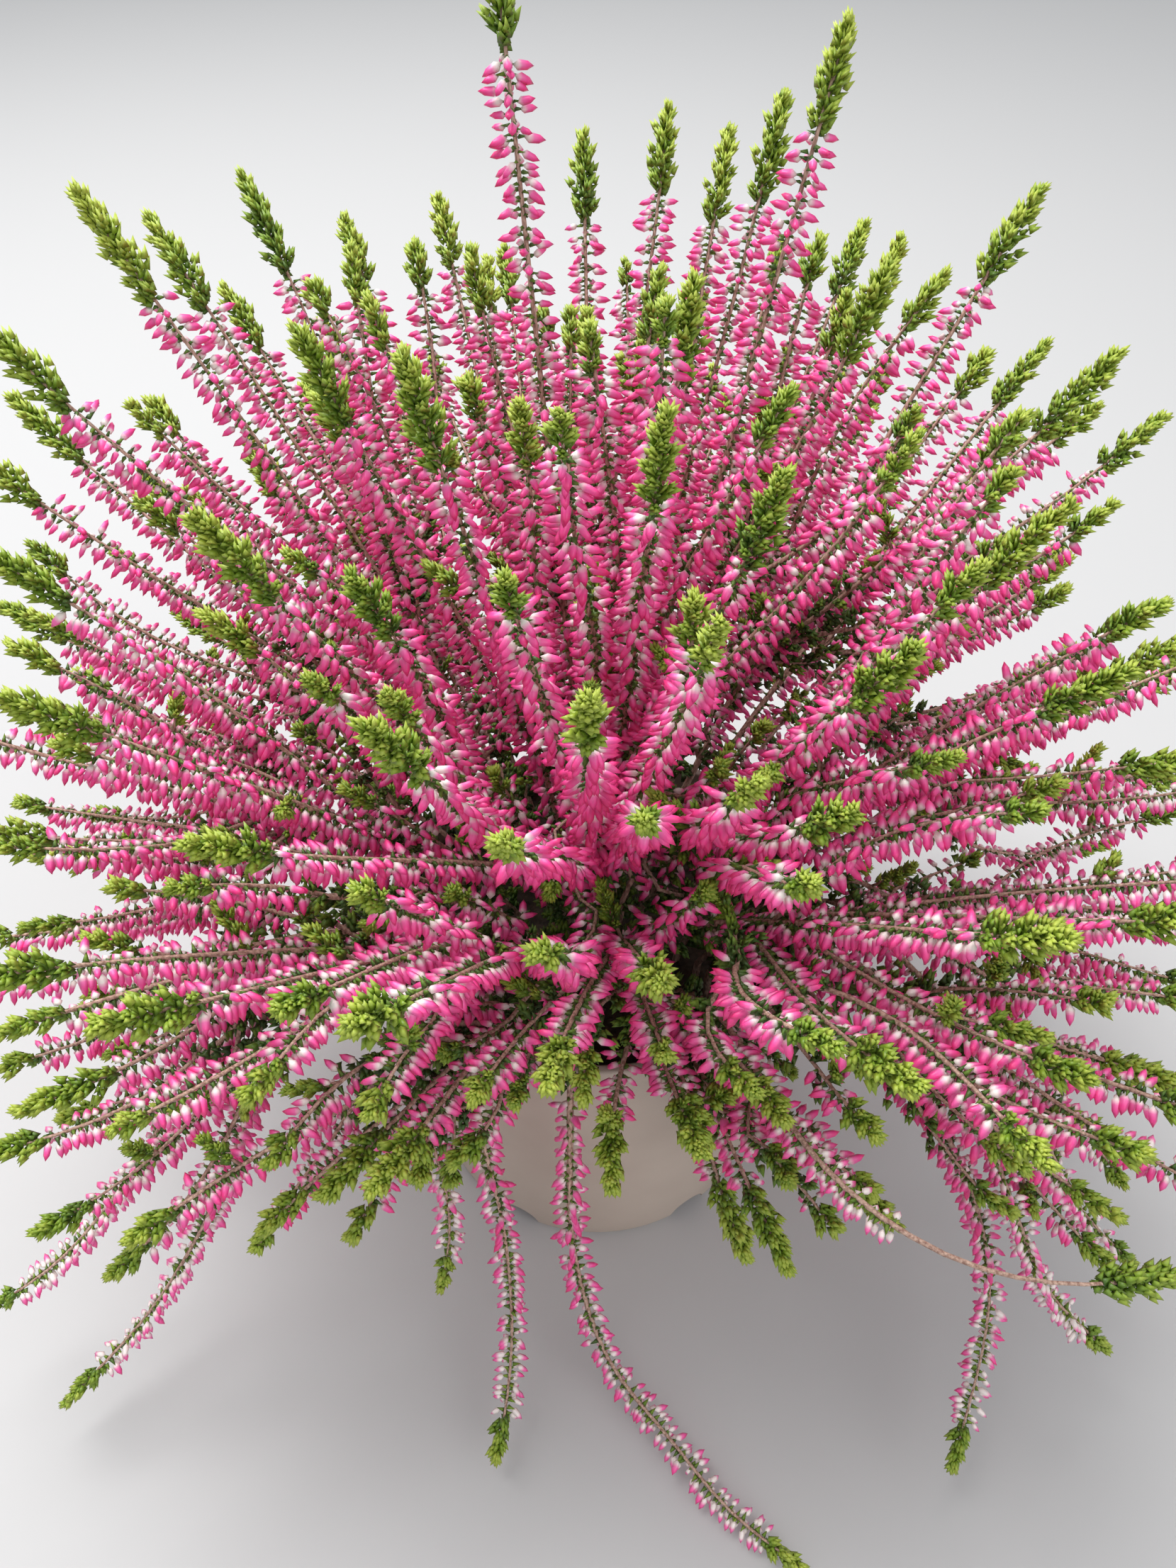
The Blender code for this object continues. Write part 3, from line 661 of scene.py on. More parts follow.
def lay_out():
    """Every spray of the plant, with the lines of different branches bent clear of one another."""
    sprays = []
    branches = fill_branches(listed_branches())
    for number, branch in enumerate(branches):
        main = Spray(number, main_line(*branch[0]))
        sprays.append(main)
        for direction, reach in branch[1:]:
            fork = round(FORK_SHARE * SAMPLES)
            sprays.append(Spray(number, side_line(main, fork, direction, reach), main, fork))
    sprays += side_shoots(sprays)
    for number, (azimuth, points) in enumerate(TRAILING_SPRAYS, len(branches)):
        root = root_place(math.radians(azimuth), 0)
        risen = root + Vector((0, 0, TRAILING_RISE))
        sprays.append(Spray(number, through([root, risen, *(Vector(p) / 1000 for p in points)])))
    bend_clear(sprays)
    return sprays


def bend_clear(sprays):
    """Pushes apart the samples of different branches that lie nearer than their coverings need.

    Each round moves both of a close pair by part of what they lack and evens the moves out along each
    line. Roots move only sideways, forks stay on their parents, and all keep clear of rim and surface.
    """
    lines = np.array([spray.line for spray in sprays])
    owner = np.repeat([spray.branch for spray in sprays], SAMPLES)
    room = []
    for spray in sprays:
        along = spray.along()
        room += [room_at(spray.grown() + s, along[-1] - s, spray.plume) for s in along]
    room = np.array(room)
    for step in range(CLEAR_ROUNDS):
        flat = lines.reshape(-1, 3)
        if step % NEIGHBOUR_ROUNDS == 0:
            near = near_pairs(flat, flat, NEIGHBOUR_REACH) & (owner[:, None] != owner[None, :])
            first, second = np.nonzero(np.triu(near))
            need = room[first] + room[second] + ROOM
        offset, share = closeness(flat, first, second, need, CLOSENESS_SHARE)
        push = share[:, None] * offset
        moves = np.zeros_like(flat)
        np.add.at(moves, first, push)
        np.add.at(moves, second, -push)
        lines += evened_out(moves.reshape(lines.shape))
        keep_off_pot(lines, room.reshape(lines.shape[:2]))
        for k, spray in enumerate(sprays):
            if spray.parent is None:
                lines[k, :2, :2] = lines[k, :2, :2].mean(axis=0)
                lines[k, 0, 2] = PEAT_TOP
            else:
                lines[k, 0] = lines[sprays.index(spray.parent), spray.fork]
    for spray, line in zip(sprays, lines):
        spray.line = line


def closeness(points, first, second, need, part):
    """The offset of each pair of points, and part of what it lacks as a share of its length."""
    offset = points[first] - points[second]
    distance = np.sqrt((offset**2).sum(axis=1)) + 1e-9
    return offset, part * np.clip(need - distance, 0, None) / distance


def evened_out(moves):
    """Moves of the points of each line, each blended twice with those of its neighbours."""
    for _ in range(2):
        moves[:, 1:-1] = 0.25 * moves[:, :-2] + 0.5 * moves[:, 1:-1] + 0.25 * moves[:, 2:]
    return moves


def near_pairs(points, others, reach):
    """True for each point and other point that lie within reach of each other."""
    apart = (points**2).sum(axis=1)[:, None] + (others**2).sum(axis=1)[None, :] - 2 * points @ others.T
    return apart < reach**2


def keep_off_pot(lines, room):
    """Moves samples out of a ring round the rim, off the wall's outside and up from the surface."""
    flat = np.hypot(lines[..., 0], lines[..., 1])
    from_rim_r = flat - RIM_MIDDLE
    from_rim_z = lines[..., 2] - (POT_HEIGHT - RIM_EDGE)
    distance = np.hypot(from_rim_r, from_rim_z) + 1e-9
    lack = np.clip(room + RIM_CLEARANCE - distance, 0, None)
    lack[:, :ROOT_SAMPLES] = 0
    outward = lines[..., :2] / (flat[..., None] + 1e-9)
    lines[..., :2] += (lack * from_rim_r / distance)[..., None] * outward
    lines[..., 2] += lack * np.abs(from_rim_z) / distance
    beside = (flat > OUTSIDE_FROM) & (lines[..., 2] < POT_HEIGHT)
    short = np.where(beside, np.clip(RIM_RADIUS + room + WALL_CLEARANCE - flat, 0, None), 0)
    lines[..., :2] += short[..., None] * outward
    lines[..., 2] = np.maximum(lines[..., 2], np.where(flat > RIM_RADIUS, room + SURFACE_CLEARANCE, 0))


# Finer shoots
# Between the sprays stand finer shoots, shorter than they are, which close the bush. Each forks from
# the nearest spray. The outer ones end a little inside the bush's outline, the inner ones about half-way.
OUTER_SPACING = math.radians(6.1)
OUTER_TURN = 2.0
MOST_OUTER = 160
OUTER_REACH = (0.78, 0.97)
OUTER_FORKS = (9, 15)
OUTER_SIDE_FORKS = (2, 8)
INNER_SPACING = math.radians(13.6)
INNER_TURN = 0.5
MOST_INNER = 100
INNER_REACH = (0.42, 0.66)
INNER_FORKS = (5, 9)
FINE_BOW = 0.0035
LOW_SPACING = 1.25
TOP_SPACING = 0.90
FINE_CANDIDATES = 1000
FINE_LOWEST = math.radians(-12)
FINE_SHORTEST = 0.105
FINE_CLEAR_ROUNDS = 40
FINE_ROOM = 0.0086
FINE_CLOSENESS_SHARE = 0.35
FINE_NEIGHBOURS = 1.5
FINE_FREEDOM = (-0.45, 3)
FINE_SEED = 11


def fine_shoots(taken, carriers, spacing, turn, most, reach, forks, side_forks):
    """Shoots in golden-angle directions with none near, each forked from the carrier nearest to its own.

    The spacing narrows from LOW_SPACING times the given one level with the crown to TOP_SPACING above it.
    """
    draw = np.random.default_rng(FINE_SEED)
    ways = [way_out(spray) for spray in carriers]
    taken = list(taken)
    shoots = []
    for way in ways_down(FINE_CANDIDATES, FINE_LOWEST, turn):
        if len(shoots) == most:
            break
        room = spacing * (LOW_SPACING + (TOP_SPACING - LOW_SPACING) * max(way.z, 0))
        if room_round(way, taken) < room or front_reach(way) < FINE_SHORTEST:
            continue
        parent = carriers[nearest(way, ways)]
        fork = int(draw.integers(*(forks if parent.parent is None else side_forks)))
        line = side_line(parent, fork, way, usual_reach(way) * draw.uniform(*reach))
        line += np.sin(np.linspace(0, math.pi, SAMPLES))[:, None] * draw.normal(0, FINE_BOW, 3)
        shoots.append(Spray(parent.branch, line, parent, fork))
        taken.append(way)
    return shoots


def settle_shoots(sprays, shoots):
    """Pushes each fine shoot off whatever lies nearer than it needs, and leaves the sprays where they are."""
    lines = np.array([spray.line for spray in sprays + shoots], dtype=np.float32)
    owner = np.repeat(np.arange(len(lines)), SAMPLES)
    moving = np.nonzero(owner >= len(sprays))[0]
    freedom = np.tile(np.clip(np.linspace(*FINE_FREEDOM, SAMPLES), 0, 1), len(lines))
    for step in range(FINE_CLEAR_ROUNDS):
        flat = lines.reshape(-1, 3)
        if step % NEIGHBOUR_ROUNDS == 0:
            near = near_pairs(flat[moving], flat, FINE_NEIGHBOURS * FINE_ROOM)
            first, second = np.nonzero(near & (owner[moving, None] != owner[None, :]))
            first = moving[first]
        offset, share = closeness(flat, first, second, FINE_ROOM, FINE_CLOSENESS_SHARE)
        moves = np.zeros_like(flat)
        np.add.at(moves, first, (share * freedom[first])[:, None] * offset)
        moves = evened_out(moves.reshape(lines.shape))
        moves[:, 0] = 0
        lines += moves
    for shoot, line in zip(shoots, lines[len(sprays):]):
        shoot.line = line.astype(float)


sprays = lay_out()
trailing_from = max(spray.branch for spray in sprays) + 1 - len(TRAILING_SPRAYS)
standing = [spray for spray in sprays if spray.branch < trailing_from]
long_sprays = [spray for spray in standing if spray.plume == PLUME_LENGTH]
main_sprays = [spray for spray in standing if spray.parent is None]
outer = fine_shoots(
    [way_out(spray) for spray in sprays], long_sprays,
    OUTER_SPACING, OUTER_TURN, MOST_OUTER, OUTER_REACH, OUTER_FORKS, OUTER_SIDE_FORKS,
)
inner = fine_shoots(
    [], main_sprays, INNER_SPACING, INNER_TURN, MOST_INNER, INNER_REACH, INNER_FORKS, INNER_FORKS,
)
settle_shoots(sprays, outer + inner)


# Short green side shoots
# Among the flowers sit short leafy side shoots without buds, on about every third spray. They grow from
# its stem and rise a little.
TUFT_LENGTH = (0.010, 0.019)
TUFT_CHANCE = 0.34
TUFT_PLACES = (9, 22)
TUFT_UPWARDS = 0.6
TUFT_OUT = 0.75
TUFT_ONWARD = 0.45
TUFT_LIFT = 0.18
TUFT_SEED = 23


def side_tufts(sprays):
    """Short lines that leave a spray's flowering part outwards and a little upwards."""
    draw = np.random.default_rng(TUFT_SEED)
    tufts = []
    for spray in sprays:
        if draw.uniform() > TUFT_CHANCE:
            continue
        fork = int(draw.integers(*TUFT_PLACES))
        start = spray.line[fork]
        onward = (spray.line[fork + 1] - start) / np.linalg.norm(spray.line[fork + 1] - start)
        out = draw.normal(0, 1, 3) + (0, 0, TUFT_UPWARDS)
        out -= (out @ onward) * onward
        out /= np.linalg.norm(out)
        length = draw.uniform(*TUFT_LENGTH)
        share = np.linspace(0, 1, SAMPLES)[:, None]
        way = TUFT_OUT * out + TUFT_ONWARD * onward
        line = start + length * (share * way + share**2 * (0, 0, TUFT_LIFT))
        tufts.append(Spray(spray.branch, line, spray, fork))
    return tufts


tufts = side_tufts(sprays + outer + inner)


# Stems
# Woody stems, light brown and finely furrowed, 2 mm thick at the soil and thinner towards the tip.
# Each grows on as one piece with what it carries.
STEM_SIDES = 4
STEM_STEP = 0.0075
ROOT_RADIUS = 0.00115
TIP_STEM_RADIUS = 0.00035
SIDE_STEM_SHARE = 0.8
STEM_TAPER = 0.8
BARK_COLOURS = [(0.34, (0.260, 0.135, 0.100)), (0.66, (0.640, 0.440, 0.340))]


def unit(vectors):
    return vectors / (np.linalg.norm(vectors, axis=-1, keepdims=True) + 1e-12)


def across_line(line):
    """A line's tangents, and at each point two directions across it, turned as little as can be."""
    tangent = unit(np.gradient(line, axis=0))
    side = np.empty_like(line)
    guess = np.array([-tangent[0, 2], 0.3, tangent[0, 0]])
    for i, t in enumerate(tangent):
        guess = guess - (guess @ t) * t
        guess = guess / np.linalg.norm(guess)
        side[i] = guess
    return tangent, side, np.cross(tangent, side)


def square_to(axes):
    """Two ways out of each axis, square to it and to each other."""
    side = unit(np.cross(axes, np.where(np.abs(axes[:, 2:]) > 0.9, (1.0, 0.0, 0.0), (0.0, 0.0, 1.0))))
    return side, np.cross(axes, side)


def all_round(side, up, turns):
    """Ways out of each axis at each of several angles, from its side towards its up."""
    return np.cos(turns)[None, :, None] * side[:, None] + np.sin(turns)[None, :, None] * up[:, None]


def tube(line, radii, sides):
    """A closed tube: point (i, j) lies radius i from line point i, at 360 j / sides degrees round it."""
    tangent, side, up = across_line(line)
    ring = all_round(side, up, np.arange(sides) * math.tau / sides)
    points = (line[:, None] + radii[:, None, None] * ring).reshape(-1, 3)
    i, j = np.meshgrid(np.arange(len(line) - 1), np.arange(sides), indexing="ij")
    here = i * sides + j
    beside = i * sides + (j + 1) % sides
    walls = np.stack([here, beside, beside + sides, here, beside + sides, here + sides], axis=2)
    walls = walls.reshape(-1, 3)
    fan = np.arange(1, sides - 1)
    start = np.stack([0 * fan, fan + 1, fan], axis=1)
    end = np.stack([0 * fan, fan, fan + 1], axis=1) + (len(line) - 1) * sides
    return points, np.vstack([walls, start, end])


def smooth_line(spray):
    """The spray's route with more points, and its root sunk HOLE_DEPTH, less a fit gap, into the peat."""
    line = evenly(through(spray.line), max(5, round(spray.along()[-1] / STEM_STEP)))
    if spray.parent is None:
        line = np.vstack([line[0] - (0, 0, HOLE_DEPTH - FIT_GAP), line])
    return line


def stem_mesh(spray):
    """(points, faces, growth) of one stem: it narrows from the soil to its tip."""
    line = smooth_line(spray)
    along = lengths_along(line) + spray.grown()
    share = along / along[-1]
    root = ROOT_RADIUS if spray.parent is None else SIDE_STEM_SHARE * ROOT_RADIUS
    radii = TIP_STEM_RADIUS + (root - TIP_STEM_RADIUS) * (1 - share) ** STEM_TAPER
    points, faces = tube(line, radii, STEM_SIDES)
    growth = np.repeat(np.stack([share, share * 0 + 0.5, share * 0], axis=1), STEM_SIDES, axis=0)
    return points, faces, growth


def growth_of(nodes, links):
    """What every point of a branch knows: its share along the stem or leaf, a chance, and an age."""
    read = nodes.new("ShaderNodeAttribute")
    read.attribute_name = "growth"
    apart = nodes.new("ShaderNodeSeparateXYZ")
    links.new(read.outputs["Vector"], apart.inputs["Vector"])
    return apart.outputs["X"], apart.outputs["Y"], apart.outputs["Z"]


def with_part(nodes, links, value, part, added):
    """value plus part times what is added."""
    total = nodes.new("ShaderNodeMath")
    total.operation = "MULTIPLY_ADD"
    total.inputs[1].default_value = part
    links.new(added, total.inputs[0])
    links.new(value, total.inputs[2])
    return total.outputs["Value"]


def bark():
    """Light brown with darker furrows, which are longer upwards than across."""
    material, nodes, links, shader = new_material("heather_bark")
    stretch = nodes.new("ShaderNodeMapping")
    stretch.inputs["Scale"].default_value = (1, 1, 0.35)
    links.new(object_place(nodes), stretch.inputs["Vector"])
    furrow = noise(nodes, links, stretch.outputs["Vector"], 1500, 4)
    coloured(nodes, links, shader, furrow, BARK_COLOURS)
    relief(nodes, links, shader, furrow, 0.6, 0.0003)
    shader.inputs["Roughness"].default_value = 0.75
    return material


# Flower buds
# Closed buds, about 4 to 5 mm long and pointed, glossy magenta-pink with a pale base. They stand round the
# stem on short stalks, in facing pairs, and nod towards the ground.
BUD_LENGTH = 0.0048
BUD_RADIUS = 0.00110
BUD_SIDES = 4
BUD_OUTLINE = ((0.00, 0.00), (0.26, 0.94), (0.70, 0.76), (1.00, 0.00))
BUD_NODE_SPACING = 0.00145
INNER_NODE_SPACING = 0.0025
OUTWARD_CROWDING = 0.82
BUDS_AT_NODE = 2
RANK_DRIFT = 0.05
BUD_STALK = 0.0015
BUD_DROOP = 0.50
SEPAL_BEYOND = 0.0012
FORK_BARE = 0.008
TURN_SCATTER = 0.24
NODE_SCATTER = 0.0005
OFF_THE_TOP = 0.34
BUD_LEAN = (-0.15, 0.55)
BUD_SCATTER = 0.12
STALK_SPREAD = (0.6, 1.5)
BUD_SIZES = (0.82, 1.14)
OLD_SMALLER = 0.22
AGE_SCATTER = 0.14
AGEING_FROM = 0.45
SEPAL_LEAN = 0.25
SEPAL_SCATTER = 0.15
SEPAL_AGE = 0.14
SEPAL_AGE_OF_BUD = 0.40
BUD_COLOURS = [
    (0.18, (0.93, 0.82, 0.78)),
    (0.42, (0.94, 0.17, 0.45)),
    (0.68, (0.92, 0.065, 0.315)),
    (1.0, (0.84, 0.040, 0.205)),
]


def bud_shape():
    """A pointed ovoid about its own axis: rings of BUD_SIDES points at the outline's shares of its length."""
    inner = np.array(BUD_OUTLINE[1:-1])
    angles = np.arange(BUD_SIDES) * math.tau / BUD_SIDES
    ring = np.stack([np.cos(angles), np.sin(angles)], axis=1)
    rings = [
        np.hstack([width * BUD_RADIUS * ring, np.full((BUD_SIDES, 1), share * BUD_LENGTH)])
        for share, width in inner
    ]
    points = np.vstack([[(0, 0, 0)], *rings, [(0, 0, BUD_LENGTH)]])
    j = np.arange(BUD_SIDES)
    after = (j + 1) % BUD_SIDES
    faces = [np.stack([0 * j, 1 + after, 1 + j], axis=1)]
    for k in range(len(inner) - 1):
        low, high = 1 + k * BUD_SIDES, 1 + (k + 1) * BUD_SIDES
        faces.append(np.stack([low + j, low + after, high + after], axis=1))
        faces.append(np.stack([low + j, high + after, high + j], axis=1))
    top = 1 + (len(inner) - 1) * BUD_SIDES
    faces.append(np.stack([top + j, top + after, 0 * j + len(points) - 1], axis=1))
    shares = points[:, 2] / BUD_LENGTH
    return points, np.vstack(faces), shares


def copies(shape, places, axes, sizes, chances, ages):
    """Copies of a shape: each is turned so that its own axis follows axes, scaled and moved to its place."""
    points, faces, shares = shape
    axes = unit(axes)
    side, up = square_to(axes)
    turned_points = (
        points[None, :, 0, None] * side[:, None]
        + points[None, :, 1, None] * up[:, None]
        + points[None, :, 2, None] * axes[:, None]
    )
    made = places[:, None] + sizes[:, None, None] * turned_points
    count = len(places)
    all_faces = faces[None] + (np.arange(count) * len(points))[:, None, None]
    growth = np.stack([
        np.broadcast_to(shares, (count, len(points))),
        np.broadcast_to(chances[:, None], (count, len(points))),
        np.broadcast_to(ages[:, None], (count, len(points))),
    ], axis=2)
    return made.reshape(-1, 3), all_faces.reshape(-1, 3), growth.reshape(-1, 3)


def around(spray, lengths):
    """Places on a spray, and there: the way along it, two ways out of it, and how level it is.

    The two ways out are square to each other, and the first one points most nearly down.
    """
    line = smooth_line(spray)
    along = lengths_along(line)
    if spray.parent is None:
        along -= HOLE_DEPTH - FIT_GAP
    tangent = unit(np.gradient(line, axis=0))
    place = np.stack([np.interp(lengths, along, line[:, k]) for k in range(3)], axis=1)
    way = unit(np.stack([np.interp(lengths, along, tangent[:, k]) for k in range(3)], axis=1))
    under = -np.array([0, 0, 1]) + way[:, 2:] * way
    level = np.linalg.norm(under, axis=1)
    under = unit(under)
    beside = np.cross(way, under)
    return place, way, under, beside, level


def turned_out(under, beside, turn):
    """The way out of a stem, turned by an angle from its underside."""
    return np.cos(turn)[:, None] * under + np.sin(turn)[:, None] * beside


def flower_buds(spray, draw, start, end, spacing, ages):
    """Buds of one spray, in pairs that face each other, each pair a quarter turn on from the last.

    On a level stem they keep off its upper side, and towards the spray's end they stand closer. Ages run
    from the first one given at the start to the second one at the end. With the buds comes, for each, the
    line from the stem to the bud's base.
    """
    count = max(1, int((end - start) / spacing))
    node = np.repeat(start + (end - start) * np.linspace(0, 1, count) ** OUTWARD_CROWDING, BUDS_AT_NODE)
    total = len(node)
    turn = np.repeat(np.arange(count) * (math.tau / 4 + RANK_DRIFT), BUDS_AT_NODE)
    turn = turn + np.tile(np.arange(BUDS_AT_NODE) * math.tau / BUDS_AT_NODE, count)
    turn = turn + draw.normal(0, TURN_SCATTER, total)
    turn = (turn + math.pi) % math.tau - math.pi
    place, way, under, beside, level = around(spray, node + draw.normal(0, NODE_SCATTER, total))
    out = turned_out(under, beside, turn * (1 - OFF_THE_TOP * level))
    lean = draw.uniform(*BUD_LEAN, total)
    axes = out + lean[:, None] * way + draw.normal(0, BUD_SCATTER, (total, 3)) + (0, 0, -BUD_DROOP)
    stalk = BUD_STALK * draw.uniform(*STALK_SPREAD, total)
    share = (node - start) / max(end - start, 1e-6)
    age = np.interp(share, [0, AGEING_FROM, 1], [ages[0], ages[0], ages[1]])
    sizes = draw.uniform(*BUD_SIZES, total) * (1 - OLD_SMALLER * age)
    chances = draw.uniform(0, 1, total)
    age = np.clip(age + draw.normal(0, AGE_SCATTER, total), 0, 1)
    buds = place + stalk[:, None] * out, axes, sizes, chances, age
    return buds, (place, out + SEPAL_LEAN * unit(axes), (stalk + SEPAL_BEYOND) / LEAF_LENGTH)


def sepals(buds, stalks, draw):
    """A small green leaf from the stem to just past each bud's base."""
    place, axes, sizes = stalks
    tilt = draw.normal(0, SEPAL_SCATTER, axes.shape)
    return place, axes + tilt, sizes, buds[3], SEPAL_AGE + SEPAL_AGE_OF_BUD * buds[4]


def bud_skin():
    """Pale at the base and magenta-pink above it, glossier at the tip; older buds stay pale for longer."""
    material, nodes, links, shader = new_material("heather_buds")
    along, chance, age = growth_of(nodes, links)
    pinkness = with_part(nodes, links, with_part(nodes, links, along, -0.55, age), 0.26, chance)
    coloured(nodes, links, shader, pinkness, BUD_COLOURS)
    rough(nodes, links, shader, along, 0.52, 0.30)
    relief(nodes, links, shader, noise(nodes, links, object_place(nodes), 1600, 1), 0.25, 0.00015)
    shader.inputs["Specular IOR Level"].default_value = 0.55
    return material


# Small leaves
# Scale leaves, 2 to 3 mm long and keeled, are dark green below and crowd the lower stems. One sits at
# the foot of each bud. They clasp the stem and grow from it.
LEAF_LENGTH = 0.0021
LEAF_WIDTH = 0.0010
LEAF_COLOURS = [
    (0.0, (0.018, 0.042, 0.010)),
    (0.36, (0.065, 0.140, 0.016)),
    (0.66, (0.195, 0.310, 0.020)),
    (1.0, (0.440, 0.520, 0.070)),
]


def leaf_shape(length, width):
    """A keeled leaf of four points: two at its sides, one on its keel and one at its tip."""
    points = np.array([
        (-0.5 * width, 0.10 * width, 0.18 * length),
        (0.5 * width, 0.10 * width, 0.18 * length),
        (0, -0.45 * width, 0.30 * length),
        (0, 0, length),
    ])
    faces = np.array([(0, 2, 3), (2, 1, 3), (1, 0, 3), (0, 1, 2)])
    return points, faces, np.array([0.0, 0.0, 0.3, 1.0])


def leaf_green():
    """Dark green, lighter towards the leaf's tip and from leaf to leaf; the youngest are yellow-green."""
    material, nodes, links, shader = new_material("heather_leaves")
    along, chance, age = growth_of(nodes, links)
    lightness = with_part(nodes, links, with_part(nodes, links, age, 0.22, along), 0.16, chance)
    coloured(nodes, links, shader, lightness, LEAF_COLOURS)
    rough(nodes, links, shader, chance, 0.42, 0.62)
    relief(nodes, links, shader, noise(nodes, links, object_place(nodes), 2200, 1), 0.35, 0.00015)
    return material


# Leafy tips
# Every spray ends in a bright yellow-green plume, like a small conifer: short side twigs that rise
# from a thin reddish axis, each covered in overlapping scale leaves.
TWIG_SPACING = 0.00106
TWIG_TIERS = 3
TWIG_LEAVES = 3
TWIG_LEAF_LENGTH = 0.0027
TWIG_LEAF_WIDTH = 0.0018
LOWER_TWIG_SPACING = 0.0028
LOWER_TWIG_LENGTH = (0.005, 0.011)
TWIG_TURN = 2.4
TWIG_RISE = 1.15
TWIG_RISE_MORE = 0.9
TIER_TURN = 1.05
LEAF_SPREAD = 0.36
END_LEAF_SPREAD = 0.17
LEAF_SIZES = (0.85, 1.2)
FULL_TWIG = 0.005
TWIG_OUTLINE = ((0, 0.18, 0.60, 1.0), (0.72, 1.0, 0.80, 0.40))
TWIG_SIZES = (0.85, 1.15)
TWIG_TURN_SCATTER = 0.2
TWIG_SCATTER = 0.08
LOWER_TWIG_RISE = 0.8
LOWER_TURN_SCATTER = 0.3
LOWER_TWIG_SCATTER = 0.2
TIER_START = 0.35
LEAF_OFF_AXIS = 0.00030
LEAF_GROWTH = (0.75, 0.35, 1.2)
YOUNGER_OUTWARDS = 0.30


def twig_lengths(share, longest):
    """Twig lengths along a plume: short at its foot, longest a fifth of the way up, least at its tip."""
    return longest * np.interp(share, *TWIG_OUTLINE)


def plume_twigs(spray, draw, start, end, longest):
    """Twigs of a plume as bases, ways, lengths and shares of the plume. They rise more towards its tip."""
    count = max(4, int((end - start) / TWIG_SPACING))
    share = np.linspace(0, 1, count)
    turn = np.arange(count) * TWIG_TURN + draw.normal(0, TWIG_TURN_SCATTER, count)
    place, way, under, beside, _ = around(spray, start + (end - start) * share)
    rise = TWIG_RISE + TWIG_RISE_MORE * share[:, None] ** 2
    axes = unit(turned_out(under, beside, turn) + rise * way + draw.normal(0, TWIG_SCATTER, (count, 3)))
    return place, axes, twig_lengths(share, longest) * draw.uniform(*TWIG_SIZES, count), share


def lower_twigs(spray, draw, start, end):
    """Twigs of the leafy part of a stem below its buds, each turned by the golden angle from the last."""
    count = max(1, int((end - start) / LOWER_TWIG_SPACING))
    turn = np.arange(count) * GOLDEN_ANGLE + draw.normal(0, LOWER_TURN_SCATTER, count)
    lengths = start + (end - start) * (np.arange(count) + 0.5) / count
    place, way, under, beside, _ = around(spray, lengths)
    out = turned_out(under, beside, turn) + LOWER_TWIG_RISE * way
    axes = unit(out + draw.normal(0, LOWER_TWIG_SCATTER, (count, 3)))
    return place, axes, draw.uniform(*LOWER_TWIG_LENGTH, count)


def leafy_twigs(bases, ways, lengths, ages, draw):
    """Scale leaves of many twigs at once: tiers of TWIG_LEAVES leaves, each turned on from the last."""
    tier = np.repeat(np.arange(TWIG_TIERS), TWIG_LEAVES)
    turn = tier * TIER_TURN + np.tile(np.arange(TWIG_LEAVES) * math.tau / TWIG_LEAVES, TWIG_TIERS)
    out = all_round(*square_to(ways), turn)
    share = (tier + TIER_START) / TWIG_TIERS
    from_base = (lengths[:, None] - 0.5 * TWIG_LEAF_LENGTH) * share[None, :]
    place = bases[:, None] + from_base[..., None] * ways[:, None] + LEAF_OFF_AXIS * out
    spread = np.where(tier == TWIG_TIERS - 1, END_LEAF_SPREAD, LEAF_SPREAD)
    axes = ways[:, None] + spread[None, :, None] * out
    shape = place.shape[:2]
    least, more, most = LEAF_GROWTH
    for_length = least + more * np.clip(lengths / FULL_TWIG, 0, most)
    sizes = draw.uniform(*LEAF_SIZES, shape) * for_length[:, None]
    chances = draw.uniform(0, 1, shape)
    leaf_ages = ages[:, None] + YOUNGER_OUTWARDS * (share[None, :] - 0.5)
    return place.reshape(-1, 3), axes.reshape(-1, 3), sizes.ravel(), chances.ravel(), leaf_ages.ravel()


# Branches put together
# Stem, leaves, buds and plume of all the sprays of a branch are one grown piece, so they are one mesh.
# Its foot is sunk into the peat.
PLUME_SHARE = (0.72, 1.0)
PLUME_TWIG = (0.0064, 0.0080)
OUTER_PLUME = (0.008, 0.016)
OUTER_TWIG = (0.0040, 0.0062)
INNER_PLUME = (0.006, 0.011)
INNER_TWIG = (0.0034, 0.0048)
TRAILING_PLUME = (0.009, 0.015)
TRAILING_TWIG = (0.0040, 0.0052)
TUFT_TWIG = (0.0034, 0.0046)
TUFT_PLUME_SHARE = 0.8
TUFT_TINT = 0.40
INNER_TINT = 0.34
OUTER_TINT = 0.45
TRAILING_TINT = 0.46
PLUME_TINT = 0.47
TIP_YELLOWER = 0.26
TINT_SCATTER = 0.05
LOWER_LEAF_AGES = (0.04, 0.34)
BUD_AGES = ((0.0, 0.16), (0.05, 0.3))
TRAILING_BUD_AGES = ((0.1, 0.3), (0.6, 0.95))
FIRST_SPRAY_SEED = 100
LEAFY_FROM = 0.012
LEAFY_FROM_FORK = 0.0015
FLOWERS_FROM = 0.052
BARE_TRAILING = 50
BARE_BEFORE_PLUME = 0.045


def leaves_of(place, axes, lengths, ages, draw):
    """Copies of the scale leaf for twigs of one age or of many."""
    return copies(twig_leaf, *leafy_twigs(place, axes, lengths, np.broadcast_to(ages, lengths.shape), draw))


def plume_leaves(spray, draw, plume, longest, tint):
    """The leaves of a spray's green end: yellower towards its tip."""
    length = spray.along()[-1]
    place, way, lengths, share = plume_twigs(spray, draw, length - plume, length, longest)
    ages = tint + TIP_YELLOWER * share + draw.normal(0, TINT_SCATTER, len(share))
    return leaves_of(place, way, lengths, ages + draw.normal(0, TINT_SCATTER), draw)


